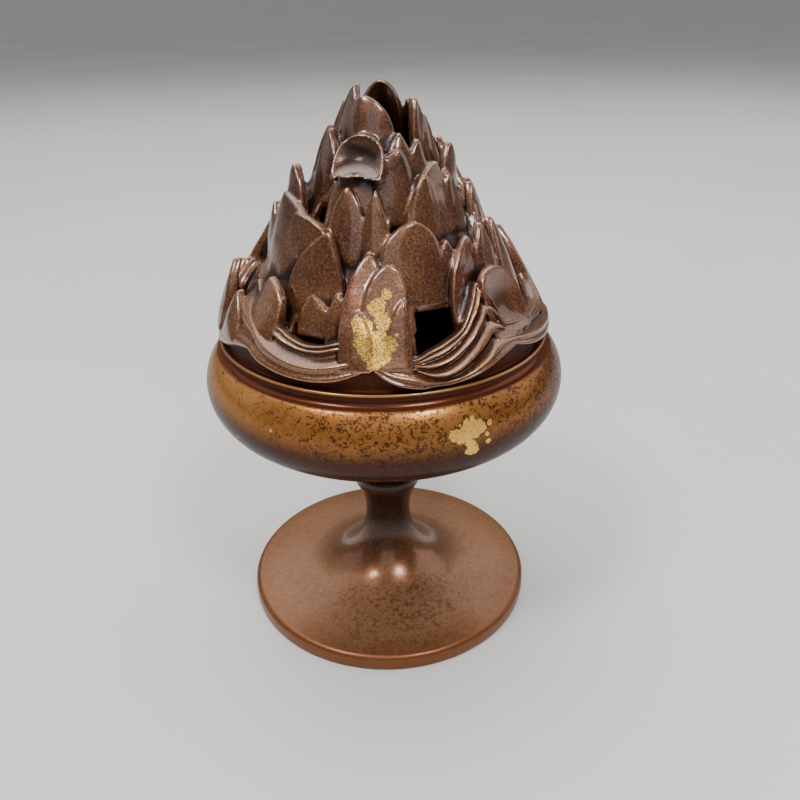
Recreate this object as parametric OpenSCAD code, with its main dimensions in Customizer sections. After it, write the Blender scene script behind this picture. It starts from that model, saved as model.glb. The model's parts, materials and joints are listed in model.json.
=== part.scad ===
// Bronze hill censer on a trumpet foot, with a pierced lid of tiered hill peaks.
// Millimetres, +Z up. The foot stands on z = 0 and the axis of the censer is x = y = 0.
// Azimuths count from the front (-Y), positive towards the right (+X).

/* [Foot] */
// Diameter of the round foot disc
foot_d = 78; // [66:1:90]
// Thickness of the foot disc at its edge
foot_edge_h = 4.4; // [3.6:0.1:6]
// Radius of the rounded top edge of the foot disc
foot_edge_r = 1.5; // [0.8:0.1:2]
// Rise of the disc from its edge to the foot of the stem
foot_rise = 0.6; // [0.2:0.1:1.5]
// Height from the table to the seat of the bowl
foot_h = 48.5; // [46:0.5:54]
// Diameter of the stem at its waist
waist_d = 12.3; // [11:0.1:15]
// Radius of the hollow curve of the stem
waist_curve_r = 18.6; // [16:0.1:20]
// Radius of the half-round collar bead on the stem
collar_bead_r = 1.7; // [1:0.1:1.9]
// Diameter of the stem over the collar bead
collar_d = 17.8; // [16.4:0.2:20]
// Diameter of the narrow neck above the collar
upper_neck_d = 13.8; // [13.4:0.2:15]
// Radius of the hollow curve under the bowl
upper_curve_r = 10; // [9:0.5:11]
// Width of the standing ring under the foot
standing_ring_w = 5; // [4:0.5:8]
// Depth of the shallow hollow under the foot
foot_hollow_h = 1.8; // [1:0.1:2.4]

/* [Bowl] */
// Greatest diameter of the bowl
bowl_d = 90; // [84:1:96]
// Height of the widest line above the seat of the bowl
bowl_waist_h = 19.3; // [18:0.1:21]
// Depth of the outside of the bowl below the widest line
bowl_belly_h = 18.7; // [17.6:0.1:18.9]
// Radius of the rounded side of the bowl
bowl_side_r = 12; // [11:0.5:13]
// Height of the shoulder above the widest line
shoulder_h = 8.6; // [8:0.1:9.4]
// Wall thickness of the bowl
bowl_wall = 2.5; // [2:0.1:3]
// Outside diameter of the neck band that carries the lid
neck_d = 78.8; // [77.6:0.2:80]
// Height of the neck band above the shoulder
neck_h = 1.9; // [1.4:0.1:3]
// Diameter of the mouth
mouth_d = 72; // [70:0.5:73]
// Diameter of the seat disc under the bowl
seat_d = 22; // [18:0.5:23]
// Diameter of the centring spigot under the bowl
bowl_spigot_d = 10; // [9:0.1:10.4]
// Length of the centring spigot under the bowl
bowl_spigot_h = 6.3; // [5:0.1:7]

/* [Tie bolt] */
// Diameter of the bolt shank
bolt_d = 5; // [4:0.1:5.4]
// Diameter of the bolt head
bolt_head_d = 8.5; // [8:0.1:10]
// Height of the bolt head
bolt_head_h = 5; // [4:0.1:5.4]
// Width across flats of the key socket in the head
key_flats = 4; // [3:0.1:4.4]
// Depth of the key socket in the head
key_h = 2.5; // [1.5:0.1:3]
// Length of the thread inside the bowl
bolt_grip = 8; // [6:0.1:8.4]
// Diameter of the washer
washer_d = 13; // [11:0.1:13.6]
// Thickness of the washer
washer_t = 1; // [0.8:0.1:1.5]
// Height of the washer seat inside the foot
washer_seat_h = 9; // [8.4:0.1:10]
// Diameter of the pocket for the head and washer
bolt_pocket_d = 15; // [14:0.1:16]

/* [Fittings in the bowl] */
// Diameter of the fibre heat pad
pad_d = 35; // [30:0.5:36]
// Thickness of the fibre heat pad
pad_t = 2; // [1.5:0.1:3]
// Diameter of the round base of the pin stand
holder_d = 22; // [18:0.5:26]
// Height of the round base of the pin stand
holder_h = 4; // [3:0.1:6]
// Radius of the rounded top edge of the holder base
holder_edge_r = 1.2; // [0.6:0.1:1.6]
// Diameter of the pin that carries the coil of incense
pin_d = 3; // [2:0.1:4]
// Height of the pin above the holder base
pin_h = 11; // [8:0.5:13]
// Height of the point of the pin
pin_point_h = 4; // [2:0.5:6]
// Diameter of the blunted point of the pin
pin_tip_d = 0.8; // [0.4:0.1:1.4]
// Depth of the pin inside the holder base
pin_seat_h = 2.6; // [2:0.1:2.8]

/* [Lid ring] */
// Height of the lid lip
lip_h = 1.4; // [1.1:0.1:2]
// Diameter of the lid lip over its beads
lip_d = 80.8; // [80.2:0.2:82]
// Radius of the two fine beads on the lip
lip_bead_r = 0.45; // [0.3:0.05:0.5]
// Depth of the lid spigot inside the mouth
lid_spigot_h = 4; // [3:0.1:5]
// Wall of the lid spigot
lid_spigot_wall = 2.3; // [1.8:0.1:2.6]
// Height of the plain hollow band above the lip
cove_h = 4.6; // [4.2:0.1:5]
// Radius of the hollow curve of the plain band
cove_r = 5; // [4.5:0.1:6]
// Diameter of the plain band at its ledge
ledge_d = 77.9; // [77.4:0.1:78.3]

/* [Hill lid] */
// Radius of the hill outline at its lowest line
hill_rim_r = 40; // [39.8:0.1:40.6]
// Radius of the hill outline at its top
hill_top_r = 5.5; // [4.5:0.1:7]
// Height of the hill outline
hill_h = 54; // [52:0.5:57]
// Power of the hill outline, 1 is a straight cone
hill_curve = 1.15; // [1.1:0.01:1.25]
// Distance of the hollow core behind the hill outline
core_in = 4; // [3.6:0.1:4.6]
// Wall thickness of the hollow core
core_wall = 2.4; // [2:0.1:3]
// Height of the open top of the core above the lowest line
core_h = 39; // [38.5:0.1:40]
// Thickness of a peak at its tip
leaf_t = 2; // [1.6:0.1:2.4]
// Stand-out of the wave relief from the hill outline
wave_out = 0.3; // [0.2:0.05:0.5]
// Half depth of the wave grooves
wave_depth = 0.5; // [0.3:0.05:0.6]

/* [Fits] */
// Radial play of the bowl spigot in the foot
spigot_play = 0.1; // [0.05:0.01:0.2]
// Radial play of the bolt in the bore of the stem
bore_play = 0.3; // [0.2:0.05:0.5]
// Radial play of the thread in the bowl
thread_play = 0.02; // [0.01:0.01:0.05]
// Radial play of the washer on the bolt
washer_play = 0.25; // [0.15:0.05:0.4]
// Radial play of the lid spigot in the mouth
lid_play = 0.3; // [0.25:0.01:0.5]
// Radial play of the pad on the flat floor of the bowl
pad_play = 1.1; // [0.6:0.1:1.6]
// Play between the wave relief and the plain band
skirt_play = 0.2; // [0.15:0.01:0.3]
// Radial interference of the pin in its base
pin_press = 0.01; // [0:0.005:0.02]

/* [Hidden] */
$fn = 64;
eps = 0.01;

// Heights along the axis.
foot_top_z = foot_edge_h + foot_rise;
waist_z = foot_top_z + waist_curve_r;
waist_x = waist_d / 2 + waist_curve_r;
collar_x = collar_d / 2 - collar_bead_r;
collar_low_z = waist_z + sqrt(pow(waist_curve_r, 2) - pow(waist_x - collar_d / 2, 2));
collar_z = collar_low_z + collar_bead_r;
collar_top_z = collar_z + collar_bead_r;
upper_x = upper_neck_d / 2 + upper_curve_r;
upper_z = collar_top_z + sqrt(max(0, pow(upper_curve_r, 2) - pow(upper_x - collar_x - eps, 2)));
bowl_z = foot_h + bowl_waist_h;
side_x = bowl_d / 2 - bowl_side_r;
belly_d = bowl_belly_h - bowl_side_r;
belly_up = (pow(side_x, 2) - pow(belly_d, 2)) / (2 * belly_d);
belly_r = belly_up + bowl_belly_h;
tangent_x = side_x * belly_r / (belly_r - bowl_side_r);
shoulder_z = bowl_z + shoulder_h;
rim_z = shoulder_z + neck_h;
floor_z = bowl_z + belly_up - sqrt(pow(belly_r - bowl_wall, 2) - pow(pad_d / 2 + pad_play, 2));
pad_z = floor_z + pad_t;
holder_z = pad_z + holder_h;
lip_z = rim_z + lip_h;
ledge_z = lip_z + cove_h;
hill_z = ledge_z - 2.3;

// Radii that follow from the fits.
lid_spigot_r = mouth_d / 2 - lid_play;
ring_in_r = lid_spigot_r - lid_spigot_wall;
cove_x = ledge_d / 2 + sqrt(pow(cove_r, 2) - pow(cove_h / 2, 2));

// Azimuths of the seven scallop tips, where one valley of waves ends and the next begins.
tips = [-3, 48, 101, 154, 206, 259, 312, 357];

// Wave lines of a valley, from scallop to sill. Each holds heights above the lowest line of the
// hill at nine even places from one scallop tip to the next.
valley_right = [
  [3, 0.2, -1.2, -1.5, -1.6, -0.8, 0.5, 1.6, 2.6],
  [4.6, 3, 2, 0, -0.2, 1.2, 3, 5, 3.4],
  [5.8, 4, 2.7, 1.8, 2.6, 4.6, 7.2, 9, 4.2],
  [6.6, 5, 3.1, 3.5, 4.6, 6.7, 10, 12.5, 5.2],
  [7.6, 6, 3.7, 5.1, 6.5, 8.2, 12.5, 15.5, 6.5]];
valley_left = [
  [2.6, 1.1, 0.4, -0.1, -0.4, -0.3, 0.2, 1.4, 3],
  [5.5, 3.2, 1.9, 1.2, 0.9, 1.2, 2.2, 3.6, 4.6],
  [8.6, 5.8, 3.5, 2.3, 1.9, 2.3, 3.6, 5.1, 5.8],
  [10.6, 7.8, 5.2, 3.8, 3.3, 3.7, 4.9, 6.3, 6.6],
  [13, 12.6, 11, 7.6, 5.8, 5.5, 6.2, 7.6, 7.6]];
valley_far_right = [
  [2.6, 1.2, 0.2, -0.3, -0.5, -0.3, 0.2, 1.2, 2.6],
  [3.4, 2.2, 1.4, 1.2, 1, 1.5, 2.6, 4.2, 5.5],
  [4.2, 3, 2.4, 2.6, 2.4, 3, 4.4, 6.4, 8],
  [5.2, 4, 3.6, 4, 3.8, 4.6, 6.6, 9.5, 11],
  [6.5, 5.4, 5.2, 5.8, 5.2, 6, 8.5, 12, 14.5]];
valley_far_left = [
  [2.6, 1.2, 0.2, -0.3, -0.5, -0.3, 0.4, 1.4, 2.6],
  [5.5, 3.6, 2.2, 1.4, 1.2, 2.5, 6, 7, 5.5],
  [8, 5.8, 4, 2.8, 2.6, 5, 10.5, 9.5, 7],
  [11, 8.5, 6, 4.4, 4.2, 7.5, 13.5, 13, 11],
  [14.5, 12.5, 8.5, 6.2, 6, 10, 16, 17, 15.5]];
valley_plain = [
  [2.6, 1.2, 0.2, -0.3, -0.5, -0.3, 0.2, 1.2, 2.6],
  [5.5, 3.6, 2.2, 1.3, 1, 1.5, 2.6, 4.2, 5.5],
  [8, 5.8, 4, 2.8, 2.4, 3, 4.4, 6.4, 8],
  [11, 8.5, 6, 4.4, 3.8, 4.6, 6.6, 9.5, 11],
  [14.5, 12.5, 8.5, 6.2, 5.2, 6, 8.5, 12, 14.5]];
valleys = [valley_right, valley_far_right, valley_plain, valley_plain, valley_plain,
           valley_far_left, valley_left];

// Peaks. Each row holds the azimuth, reach to the left and to the right, base height, tip height,
// sideways place of the tip, roundness of the left and of the right shoulder, set-in of the base,
// stand-out of the tip, fold of the face (a keel is positive, a dish negative), and sharpness of
// the tip (0.6 is round, 1 is pointed).
// Heights count from the lowest line of the hill.
rim_peaks = [
  [-7.4, 4.5, 5.5, 2.8, 23, 1.4, 3, 3.5, -0.4, -0.6, 0.6, 0.65],
  [1.2, 5, 5.4, 3, 21.8, 1.6, 3.2, 6, -1, 1.4, -0.5, 0.6],
  [-8.5, 3.2, 4, 2.4, 13.4, 0.6, 4, 3, -1, 2.2, 0.4, 0.8],
  [6, 3, 2.8, 1.8, 15.5, 1.5, 3, 5, -0.9, 2, 0.4, 0.8],
  [-48, 6.5, 6, 3, 16.8, -1.2, 2, 2.4, 0, 0.5, 0.6, 1],
  [-63, 4, 4.5, 2, 12.4, -0.6, 3, 2.4, -1.2, 2.4, 0.5, 1],
  [-80, 5, 5, 1, 16.8, -0.5, 3, 2.6, -1, 4, 0.5, 0.9],
  [-26.5, 4.2, 5.6, 6.2, 14.7, -1, 4, 2.4, 4, -2, 0.4, 1],
  [-17.2, 2, 2.8, 4, 15.4, 0.3, 6, 5, 3, -1.5, 0.3, 0.8],
  [41, 7, 5, 5, 24.6, 2.6, 2.6, 4, 3, 0.3, -0.5, 0.85],
  [55, 5.5, 5, 8, 26.6, 0.6, 2.4, 3, 4, 2, 0.8, 0.85],
  [72, 5, 5, 6, 26.2, 0, 2.4, 3, 3, 1.5, 0.8, 0.85],
  [53, 8, 6.4, 5.4, 18.8, -2.4, 8, 3.5, -2.2, 2.8, -3, 0.6],
  [80, 5, 5, 7, 17, 0, 2, 2, 4, -2, 0.5, 0.9],
  [98, 5.5, 5.5, 2, 21, 1, 2.6, 2.2, -1, 1, 0.7, 0.9],
  [107, 4, 4.5, 2, 17, -0.5, 2.6, 3, -1, 2, 0.4, 0.8],
  [128, 5.6, 5.6, 7, 18, 1, 2.6, 2, 4, -2, 0.5, 1],
  [150, 6, 6, 1, 23, 1.5, 3, 2.4, -1, 0.5, 0.8, 0.9],
  [160, 4, 4.5, 1, 17, -0.5, 3, 4, -1, 2, -1.4, 0.7],
  [181, 6, 5, 7, 17, -1, 2, 2.6, 4, -2, 0.5, 1],
  [202, 5.5, 6, 1, 21, 1, 2.4, 3, -1, 1, 0.7, 0.9],
  [212, 4, 4, 1, 16, 0, 3, 3, -1, 2, 0.4, 0.8],
  [233, 5, 6, 7, 18, 1, 2.6, 2, 4, -2, 0.5, 1],
  [255, 6, 6, 1, 23, 1, 3, 2.4, -1, 0.5, 0.8, 0.9],
  [264, 4, 4, 2, 14, 0, 2.6, 2.6, -1, 2, 0.4, 0.8]];
second_peaks = [
  [-57, 10, 9, 11, 32.8, -3.5, 3, 8, 6, 2.5, 0.6, 1],
  [-38, 8, 6.4, 13, 29.8, -4, 4, 8, 6, 1.8, 0.4, 0.8],
  [-80, 6, 6, 13, 29.6, 0, 2.4, 2.4, 6, 2, 0.6, 1],
  [-26, 9.2, 6, 10, 27.4, 1.3, 3, 2, 4.4, 2.4, 0.4, 1],
  [16, 8, 8.2, 11, 28.8, 1.2, 4, 3.3, 5, 0.5, 0.8, 0.65],
  [36, 4, 4, 13, 24.5, -0.5, 2, 2, 5, -1, 0.5, 0.9],
  [73, 8, 8, 12, 30, 1, 2.4, 2, 6, 0, 0.8, 1],
  [103, 9, 8, 11, 32, 1, 2.2, 2.8, 6, 1, 0.9, 1],
  [133, 8, 8, 12, 28, -1, 3, 2.2, 6, 0, 0.8, 0.7],
  [163, 9, 9, 11, 31, -2, 2.2, 2.6, 6, 1, 0.9, 1],
  [192, 8, 8, 12, 28, 1.5, 2.6, 2, 6, 0, 0.8, 0.8],
  [222, 9, 8, 11, 32, 0, 2.8, 2.2, 6, 1, 0.9, 1],
  [251, 8, 8, 12, 28, 1.5, 2.2, 3, 6, 0.5, 0.8, 0.7]];
third_peaks = [
  [-20, 4.6, 5.2, 20, 35.3, 0, 2.4, 3, 4, 0.8, 0.5, 0.8],
  [-2, 3, 3.6, 19, 34.9, 0.1, 3, 2.4, 4, 0.8, 0.5, 1],
  [38, 8.6, 5.2, 22, 39, 3.4, 2.4, 4, 5, 0.5, 0.6, 0.85],
  [30, 4.5, 3.5, 22, 37.3, 0.8, 2.4, 3, 5, 1, 0.5, 0.85],
  [56, 4.5, 4, 22, 37, -0.5, 2.4, 2.4, 5, 1, 0.5, 0.9],
  [-64, 4, 6, 23, 38.6, -0.3, 3, 2.6, 4, 4.2, 0.4, 0.8],
  [76, 4.5, 4.5, 20, 33.5, 0, 2.4, 2.4, 5, 1.5, 0.5, 0.9],
  [108, 6, 6, 22, 36, 1, 2.2, 2.8, 5, 0.5, 0.7, 0.9],
  [138, 6, 6, 21, 35, -1, 2.6, 2.2, 5, 0, 0.7, 1],
  [168, 6, 6, 22, 38, 0, 2.4, 2.6, 5, 0.5, 0.7, 0.8],
  [198, 6, 6, 21, 35.5, 1, 2.6, 2.2, 5, 0, 0.7, 1],
  [228, 6, 6, 22, 38, 0, 2.8, 2.4, 5, 1, 0.7, 0.9],
  [258, 5, 5, 21, 34, 0.5, 2.4, 2.8, 5, 1, 0.5, 0.9]];
fourth_peaks = [
  [-17, 5.8, 6.3, 36.4, 44.9, 0.3, 4, 4, -0.6, 0.4, -2.8, 0.6],
  [-20, 6, 6.6, 26, 37.4, 2, 5, 7, 5, -2.2, 0.3, 0.6],
  [15, 4.6, 5.5, 28, 45, 1.7, 2.6, 2.8, 5, 0.3, 0.6, 0.9],
  [12, 4.6, 4.6, 27, 42, 1.5, 5, 3, 5, 0.8, 0.5, 0.8],
  [36, 5, 3.4, 28, 43.6, 1.2, 2.6, 3, 5, 0.3, 0.5, 0.9],
  [-52, 4.5, 4.5, 30, 45.6, -1.4, 2.6, 2.4, 5, 1, 0.5, 0.9],
  [66, 5, 5, 29, 42.4, 0, 2.4, 2.8, 5, 3.6, 0.5, 0.9],
  [104, 5, 5, 29, 42, 0.5, 2.4, 2.8, 5, 0.6, 0.5, 0.9],
  [138, 5.5, 5.5, 30, 45, -0.5, 2.8, 2.4, 5, 0.5, 0.6, 0.8],
  [172, 5.5, 5.5, 28, 44, 0.5, 2.6, 2.2, 5, 0, 0.6, 1],
  [206, 5.5, 5.5, 30, 46, -0.5, 2.4, 2.6, 5, 0.5, 0.6, 0.8],
  [240, 5, 5, 29, 44.5, 0.5, 2.6, 2.2, 5, 1, 0.5, 0.9],
  [272, 4.5, 4.5, 27, 34, 0, 2.4, 2.4, 5, -0.5, 0.5, 0.9]];
crown_peaks = [
  [-12, 4.8, 6.6, 37, 52, -2, 6, 3.4, 5, 0.5, 0.5, 0.65],
  [-58, 4.6, 4.4, 37, 54, 0.5, 3, 3, 5, 0.8, 0.4, 0.9],
  [58, 3.4, 3.8, 37, 51.3, 0.4, 2.2, 2.8, 5, 2.2, 0.4, 0.9],
  [72, 4, 4, 34, 47.5, 0, 2.4, 2.4, 5, 0.8, 0.4, 0.9],
  [126, 4.5, 4.5, 37, 50, 0, 2.4, 2.4, 5, 1, 0.4, 0.9],
  [180, 7, 6.4, 37, 54, -0.7, 4, 3, 5, 0.5, 0.5, 0.65],
  [236, 4.5, 4.5, 37, 50, 0, 2.4, 2.4, 5, 1, 0.4, 0.9]];
peaks = concat(rim_peaks, second_peaks, third_peaks, fourth_peaks, crown_peaks);

// Smoke windows: azimuth, half angle, low height, high height above the lowest line of the hill.
low_windows = [[23, 10.5, 3, 12.5], [74, 9, 4, 12], [127, 10, 4, 12.5], [180, 10, 4, 12],
               [233, 10, 4, 12.5], [-74, 9, 4, 12], [-27, 10, 3, 10]];
high_windows = [[12, 5, 26, 31], [46, 5, 25, 30], [-42, 5, 27, 31], [88, 5, 26, 30],
                [118, 5, 26, 31], [148, 5, 26, 31], [178, 5, 26, 31], [208, 5, 26, 31],
                [238, 5, 26, 31], [268, 5, 26, 31]];

// Rows and columns of points on one peak.
leaf_v = [0, 0.45, 0.8, 1];
leaf_u = [-1, 0, 1];

// Hill outline and core at a height above the lowest line.
function hill_r(h) = hill_rim_r - (hill_rim_r - hill_top_r) * pow(max(h, 0) / hill_h, hill_curve);
function core_r(h) = hill_r(h) - core_in;

// A point from radius, azimuth and height above the lowest line.
function around(r, a, h) = [r * sin(a), -r * cos(a), hill_z + h];

// Reach of a peak from the line of its tip to its left or right side, at the share v of its height.
function leaf_reach(p, v, left) =
  let (full = left ? p[1] + p[5] : p[2] - p[5], point = left ? p[6] : p[7])
  full * (0.06 + 0.94 * pow(max(1 - pow(v, point), 0), p[11]));

// Radius of the face of a peak, and its thickness, which grows towards the core.
function leaf_base_r(p) = hill_r(p[3]) - p[8];
function leaf_face_r(p, u, v) = leaf_base_r(p) + (hill_r(p[4]) + p[9] - leaf_base_r(p)) * v
  + p[10] * (1 - abs(u)) * sin(180 * pow(v, 0.7));
function leaf_root(p) = max(leaf_base_r(p) - core_r(p[3]) + core_wall / 2, leaf_t);
function leaf_thick(p, v) = leaf_t + (leaf_root(p) - leaf_t) * pow(1 - v, 2);
function leaf_point(p, u, v, back) =
  let (r = leaf_face_r(p, u, v) - back * leaf_thick(p, v), x = p[5] + u * leaf_reach(p, v, u < 0))
  around(r, p[0] + x / leaf_face_r(p, u, v) * 180 / PI, p[3] + (p[4] - p[3]) * v);

// Triangles of a grid of rows and columns.
function grid_faces(rows, cols) = [
  for (i = [0 : rows - 2], j = [0 : cols - 2], k = [0, 1])
    let (a = i * cols + j, c = a + cols)
    k == 0 ? [a, c, a + 1] : [a + 1, c, c + 1]];

// One peak as a wedge: a curved face, a flat back and narrow sides, ends and top.
module peak(p) {
  cols = len(leaf_u);
  rows = len(leaf_v);
  last = rows * cols;
  face = [for (v = leaf_v, u = leaf_u) leaf_point(p, u, v, 0)];
  back = [for (v = [0, 1], u = [-1, 1]) leaf_point(p, u, v, 1)];
  left = [for (i = [0 : rows - 2]) [i * cols, last, (i + 1) * cols]];
  right = [for (i = [0 : rows - 2]) [(i + 1) * cols + 2, last + 1, i * cols + 2]];
  top = (rows - 1) * cols;
  closing = [[top, last, last + 2], [top + 2, last + 3, last + 1], [0, 1, last], [1, last + 1, last],
             [1, 2, last + 1], [top + 1, top, last + 2], [top + 1, last + 2, last + 3],
             [top + 2, top + 1, last + 3], [last, last + 1, last + 2], [last + 1, last + 3, last + 2]];
  polyhedron(concat(face, back), concat(grid_faces(rows, cols), left, right, closing));
}

// Wave relief. Each ribbon rises from a groove on one wave line to a lip at this share of the way
// to the next line, and falls back from there.
lip_share = 0.68;
function wave_h(c, k) =
  let (i = floor(k / 2))
  k % 2 == 0 ? c[1][i] : c[1][i] + (c[1][i + 1] - c[1][i]) * lip_share;
function wave_crest(k) = k == 0 ? 0.5 : (k % 2 == 0 ? -1 : 1);
function wave_r(c, k) = hill_r(wave_h(c, k)) + wave_out + wave_crest(k) * wave_depth;

// The skirt of scallops and wave ridges, closed at its back.
module wave_skirt() {
  steps = len(valley_right[0]) - 1;
  bands = 2 * (len(valley_right) - 1);
  columns = [for (i = [0 : len(valleys) - 1], j = [0 : steps - 1])
    [tips[i] + (tips[i + 1] - tips[i]) * j / steps, [for (line = valleys[i]) line[j]]]];
  count = len(columns);
  face = [for (c = columns, k = [0 : bands])
    around(wave_r(c, k), c[0], wave_h(c, k))];
  back = [for (c = columns, k = [0, 1])
    around(k == 0 ? core_r(0) : wave_r(c, bands) - 3, c[0], wave_h(c, k * bands))];
  rows = bands + 1;
  first = count * rows;
  front_faces = [for (i = [0 : count - 1], k = [0 : bands - 1], m = [0, 1])
    let (a = i * rows + k, b = ((i + 1) % count) * rows + k)
    m == 0 ? [a, a + 1, b] : [b, a + 1, b + 1]];
  back_faces = [for (i = [0 : count - 1], m = [0, 1])
    let (a = first + i * 2, b = first + ((i + 1) % count) * 2)
    m == 0 ? [a, b, a + 1] : [b, b + 1, a + 1]];
  low_faces = [for (i = [0 : count - 1], m = [0, 1])
    let (n = (i + 1) % count, a = i * rows, b = n * rows, c = first + i * 2, d = first + n * 2)
    m == 0 ? [a, b, c] : [b, d, c]];
  high_faces = [for (i = [0 : count - 1], m = [0, 1])
    let (n = (i + 1) % count, a = i * rows + bands, b = n * rows + bands)
    let (c = first + i * 2 + 1, d = first + n * 2 + 1)
    m == 0 ? [a, c, b] : [b, c, d]];
  polyhedron(concat(face, back), concat(front_faces, back_faces, low_faces, high_faces));
}

// Cone-like shell behind the peaks, open at its foot and at its top.
core_levels = [2.3, 14, 26];
function core_level(i) = i == 3 ? core_h : core_levels[i];
module core_solid(inset, extra) {
  profile = [for (i = [0 : 3]) [core_r(core_level(i)) - inset, hill_z + core_level(i)]];
  low = [profile[0][0], profile[0][1] - extra];
  high = [profile[3][0], profile[3][1] + extra];
  rotate_extrude($fn = 28)
    polygon(concat([[0, low[1]], low], profile, [high, [0, high[1]]]));
}

// One smoke window through the core, narrower inside than outside.
module window(w) {
  low_r = core_r(w[2]);
  high_r = core_r(w[3]);
  width = 2 * low_r * sin(w[1]);
  rotate([0, 0, w[0]])
    hull() {
      translate([-width / 2, -low_r - 4, hill_z + w[2]])
        cube([width, 4 + core_wall * 2, 0.5]);
      translate([-width * 0.4, -high_r - 4, hill_z + w[3]])
        cube([width * 0.8, 4 + core_wall * 2, 0.5]);
    }
}

// Foot disc, waisted stem and collar in one turned piece, hollow below.
module pedestal_foot() {
  color("#3a241a")
  difference() {
    rotate_extrude()
      foot_profile();
    translate([0, 0, -1])
      cylinder(d = foot_d - 2 * standing_ring_w, h = 1 + foot_hollow_h);
    translate([0, 0, -1])
      cylinder(d = bolt_pocket_d, h = 1 + washer_seat_h);
    translate([0, 0, -1])
      cylinder(d = bolt_d + 2 * bore_play, h = foot_h + 2);
    translate([0, 0, foot_h - bowl_spigot_h - spigot_play])
      cylinder(d = bowl_spigot_d + 2 * spigot_play, h = bowl_spigot_h + 2);
  }
}

// Half section of the foot, right of the axis.
module foot_profile() {
  edge_x = foot_d / 2 - foot_edge_r;
  edge_z = foot_edge_h - foot_edge_r;
  polygon([[0, 0], [foot_d / 2, 0], [foot_d / 2, edge_z], [edge_x, edge_z], [edge_x, foot_edge_h],
           [waist_x, foot_top_z], [0, foot_top_z]]);
  translate([edge_x, edge_z])
    circle(r = foot_edge_r);
  difference() {
    translate([0, foot_edge_h])
      square([waist_x, collar_z - foot_edge_h]);
    translate([waist_x, waist_z])
      circle(r = waist_curve_r);
    translate([collar_d / 2, waist_z])
      square([waist_x, waist_curve_r * 2]);
    translate([waist_x - eps, 0])
      square([1, waist_z * 2]);
  }
  translate([0, collar_low_z])
    square([collar_x, collar_bead_r * 2]);
  translate([collar_x, collar_z])
    circle(r = collar_bead_r);
  difference() {
    translate([0, collar_z])
      square([upper_x, foot_h - collar_z]);
    translate([upper_x, upper_z])
      circle(r = upper_curve_r);
    translate([collar_x, collar_z - 1])
      square([upper_x, upper_z - collar_z + 1]);
  }
}

// Bowl with a neck band, a flat floor and a centring spigot that takes the bolt.
module bowl() {
  color("#8a5522")
  difference() {
    union() {
      rotate_extrude()
        bowl_outside();
      translate([0, 0, foot_h])
        cylinder(d = seat_d, h = floor_z - foot_h);
      translate([0, 0, foot_h - bowl_spigot_h])
        cylinder(d = bowl_spigot_d, h = bowl_spigot_h + 1);
    }
    rotate_extrude()
      bowl_inside();
    translate([0, 0, foot_h - bowl_spigot_h - 1])
      cylinder(r = bolt_d / 2 + thread_play, h = bolt_grip + 1.5);
  }
}

// Half section of the outside of the bowl.
module bowl_outside() {
  intersection() {
    translate([side_x, bowl_z])
      circle(r = bowl_side_r);
    square([bowl_d, shoulder_z]);
  }
  intersection() {
    translate([0, bowl_z + belly_up])
      circle(r = belly_r);
    translate([0, foot_h - 1])
      square([tangent_x, bowl_waist_h + 1]);
  }
  translate([0, bowl_z - eps])
    square([side_x, shoulder_h + eps]);
  translate([0, shoulder_z - 1])
    square([neck_d / 2, neck_h + 1]);
}

// Half section of the space inside the bowl.
module bowl_inside() {
  ceiling = shoulder_z - bowl_wall;
  intersection() {
    translate([side_x, bowl_z])
      circle(r = bowl_side_r - bowl_wall);
    translate([0, floor_z])
      square([bowl_d, ceiling - floor_z]);
  }
  intersection() {
    translate([0, bowl_z + belly_up])
      circle(r = belly_r - bowl_wall);
    translate([0, floor_z])
      square([side_x + (tangent_x - side_x) * (1 - bowl_wall / bowl_side_r), bowl_z - floor_z]);
  }
  translate([0, bowl_z - eps])
    square([side_x, ceiling - bowl_z + eps]);
  translate([0, ceiling - eps])
    square([mouth_d / 2, rim_z - ceiling + 1]);
}

// Socket-head bolt from the hollow of the foot up into the bowl.
module tie_bolt() {
  low = washer_seat_h - washer_t;
  high = foot_h - bowl_spigot_h + bolt_grip;
  color("#8d8f92")
  difference() {
    union() {
      translate([0, 0, low - bolt_head_h])
        cylinder(d = bolt_head_d, h = bolt_head_h);
      translate([0, 0, low - eps])
        cylinder(d = bolt_d, h = high - low + eps);
    }
    translate([0, 0, low - bolt_head_h - 1])
      cylinder(d = key_flats / cos(30), h = key_h + 1, $fn = 6);
  }
}

// Plain washer between the bolt head and the foot.
module tie_washer() {
  color("#9a9c9e")
  translate([0, 0, washer_seat_h - washer_t])
    difference() {
      cylinder(d = washer_d, h = washer_t);
      translate([0, 0, -1])
        cylinder(r = bolt_d / 2 + washer_play, h = washer_t + 2);
    }
}

// Round pad of fire-resistant fibre on the floor of the bowl.
module heat_pad() {
  color("#d8d2c4")
  translate([0, 0, floor_z])
    cylinder(d = pad_d, h = pad_t);
}

// Round base of the pin stand with a rounded top edge.
module holder_base() {
  color("#b08a3c")
  difference() {
    translate([0, 0, pad_z])
      rotate_extrude() {
        square([holder_d / 2 - holder_edge_r, holder_h]);
        square([holder_d / 2, holder_h - holder_edge_r]);
        translate([holder_d / 2 - holder_edge_r, holder_h - holder_edge_r])
          circle(r = holder_edge_r);
      }
    translate([0, 0, holder_z - pin_seat_h])
      cylinder(r = pin_d / 2 - pin_press, h = pin_seat_h + 1);
  }
}

// Pointed pin that carries a coil of incense, pressed into the base.
module holder_pin() {
  straight_h = pin_seat_h + pin_h - pin_point_h;
  color("#c49a45")
  translate([0, 0, holder_z - pin_seat_h]) {
    cylinder(d = pin_d, h = straight_h);
    translate([0, 0, straight_h])
      cylinder(d1 = pin_d, d2 = pin_tip_d, h = pin_point_h);
  }
}

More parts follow.
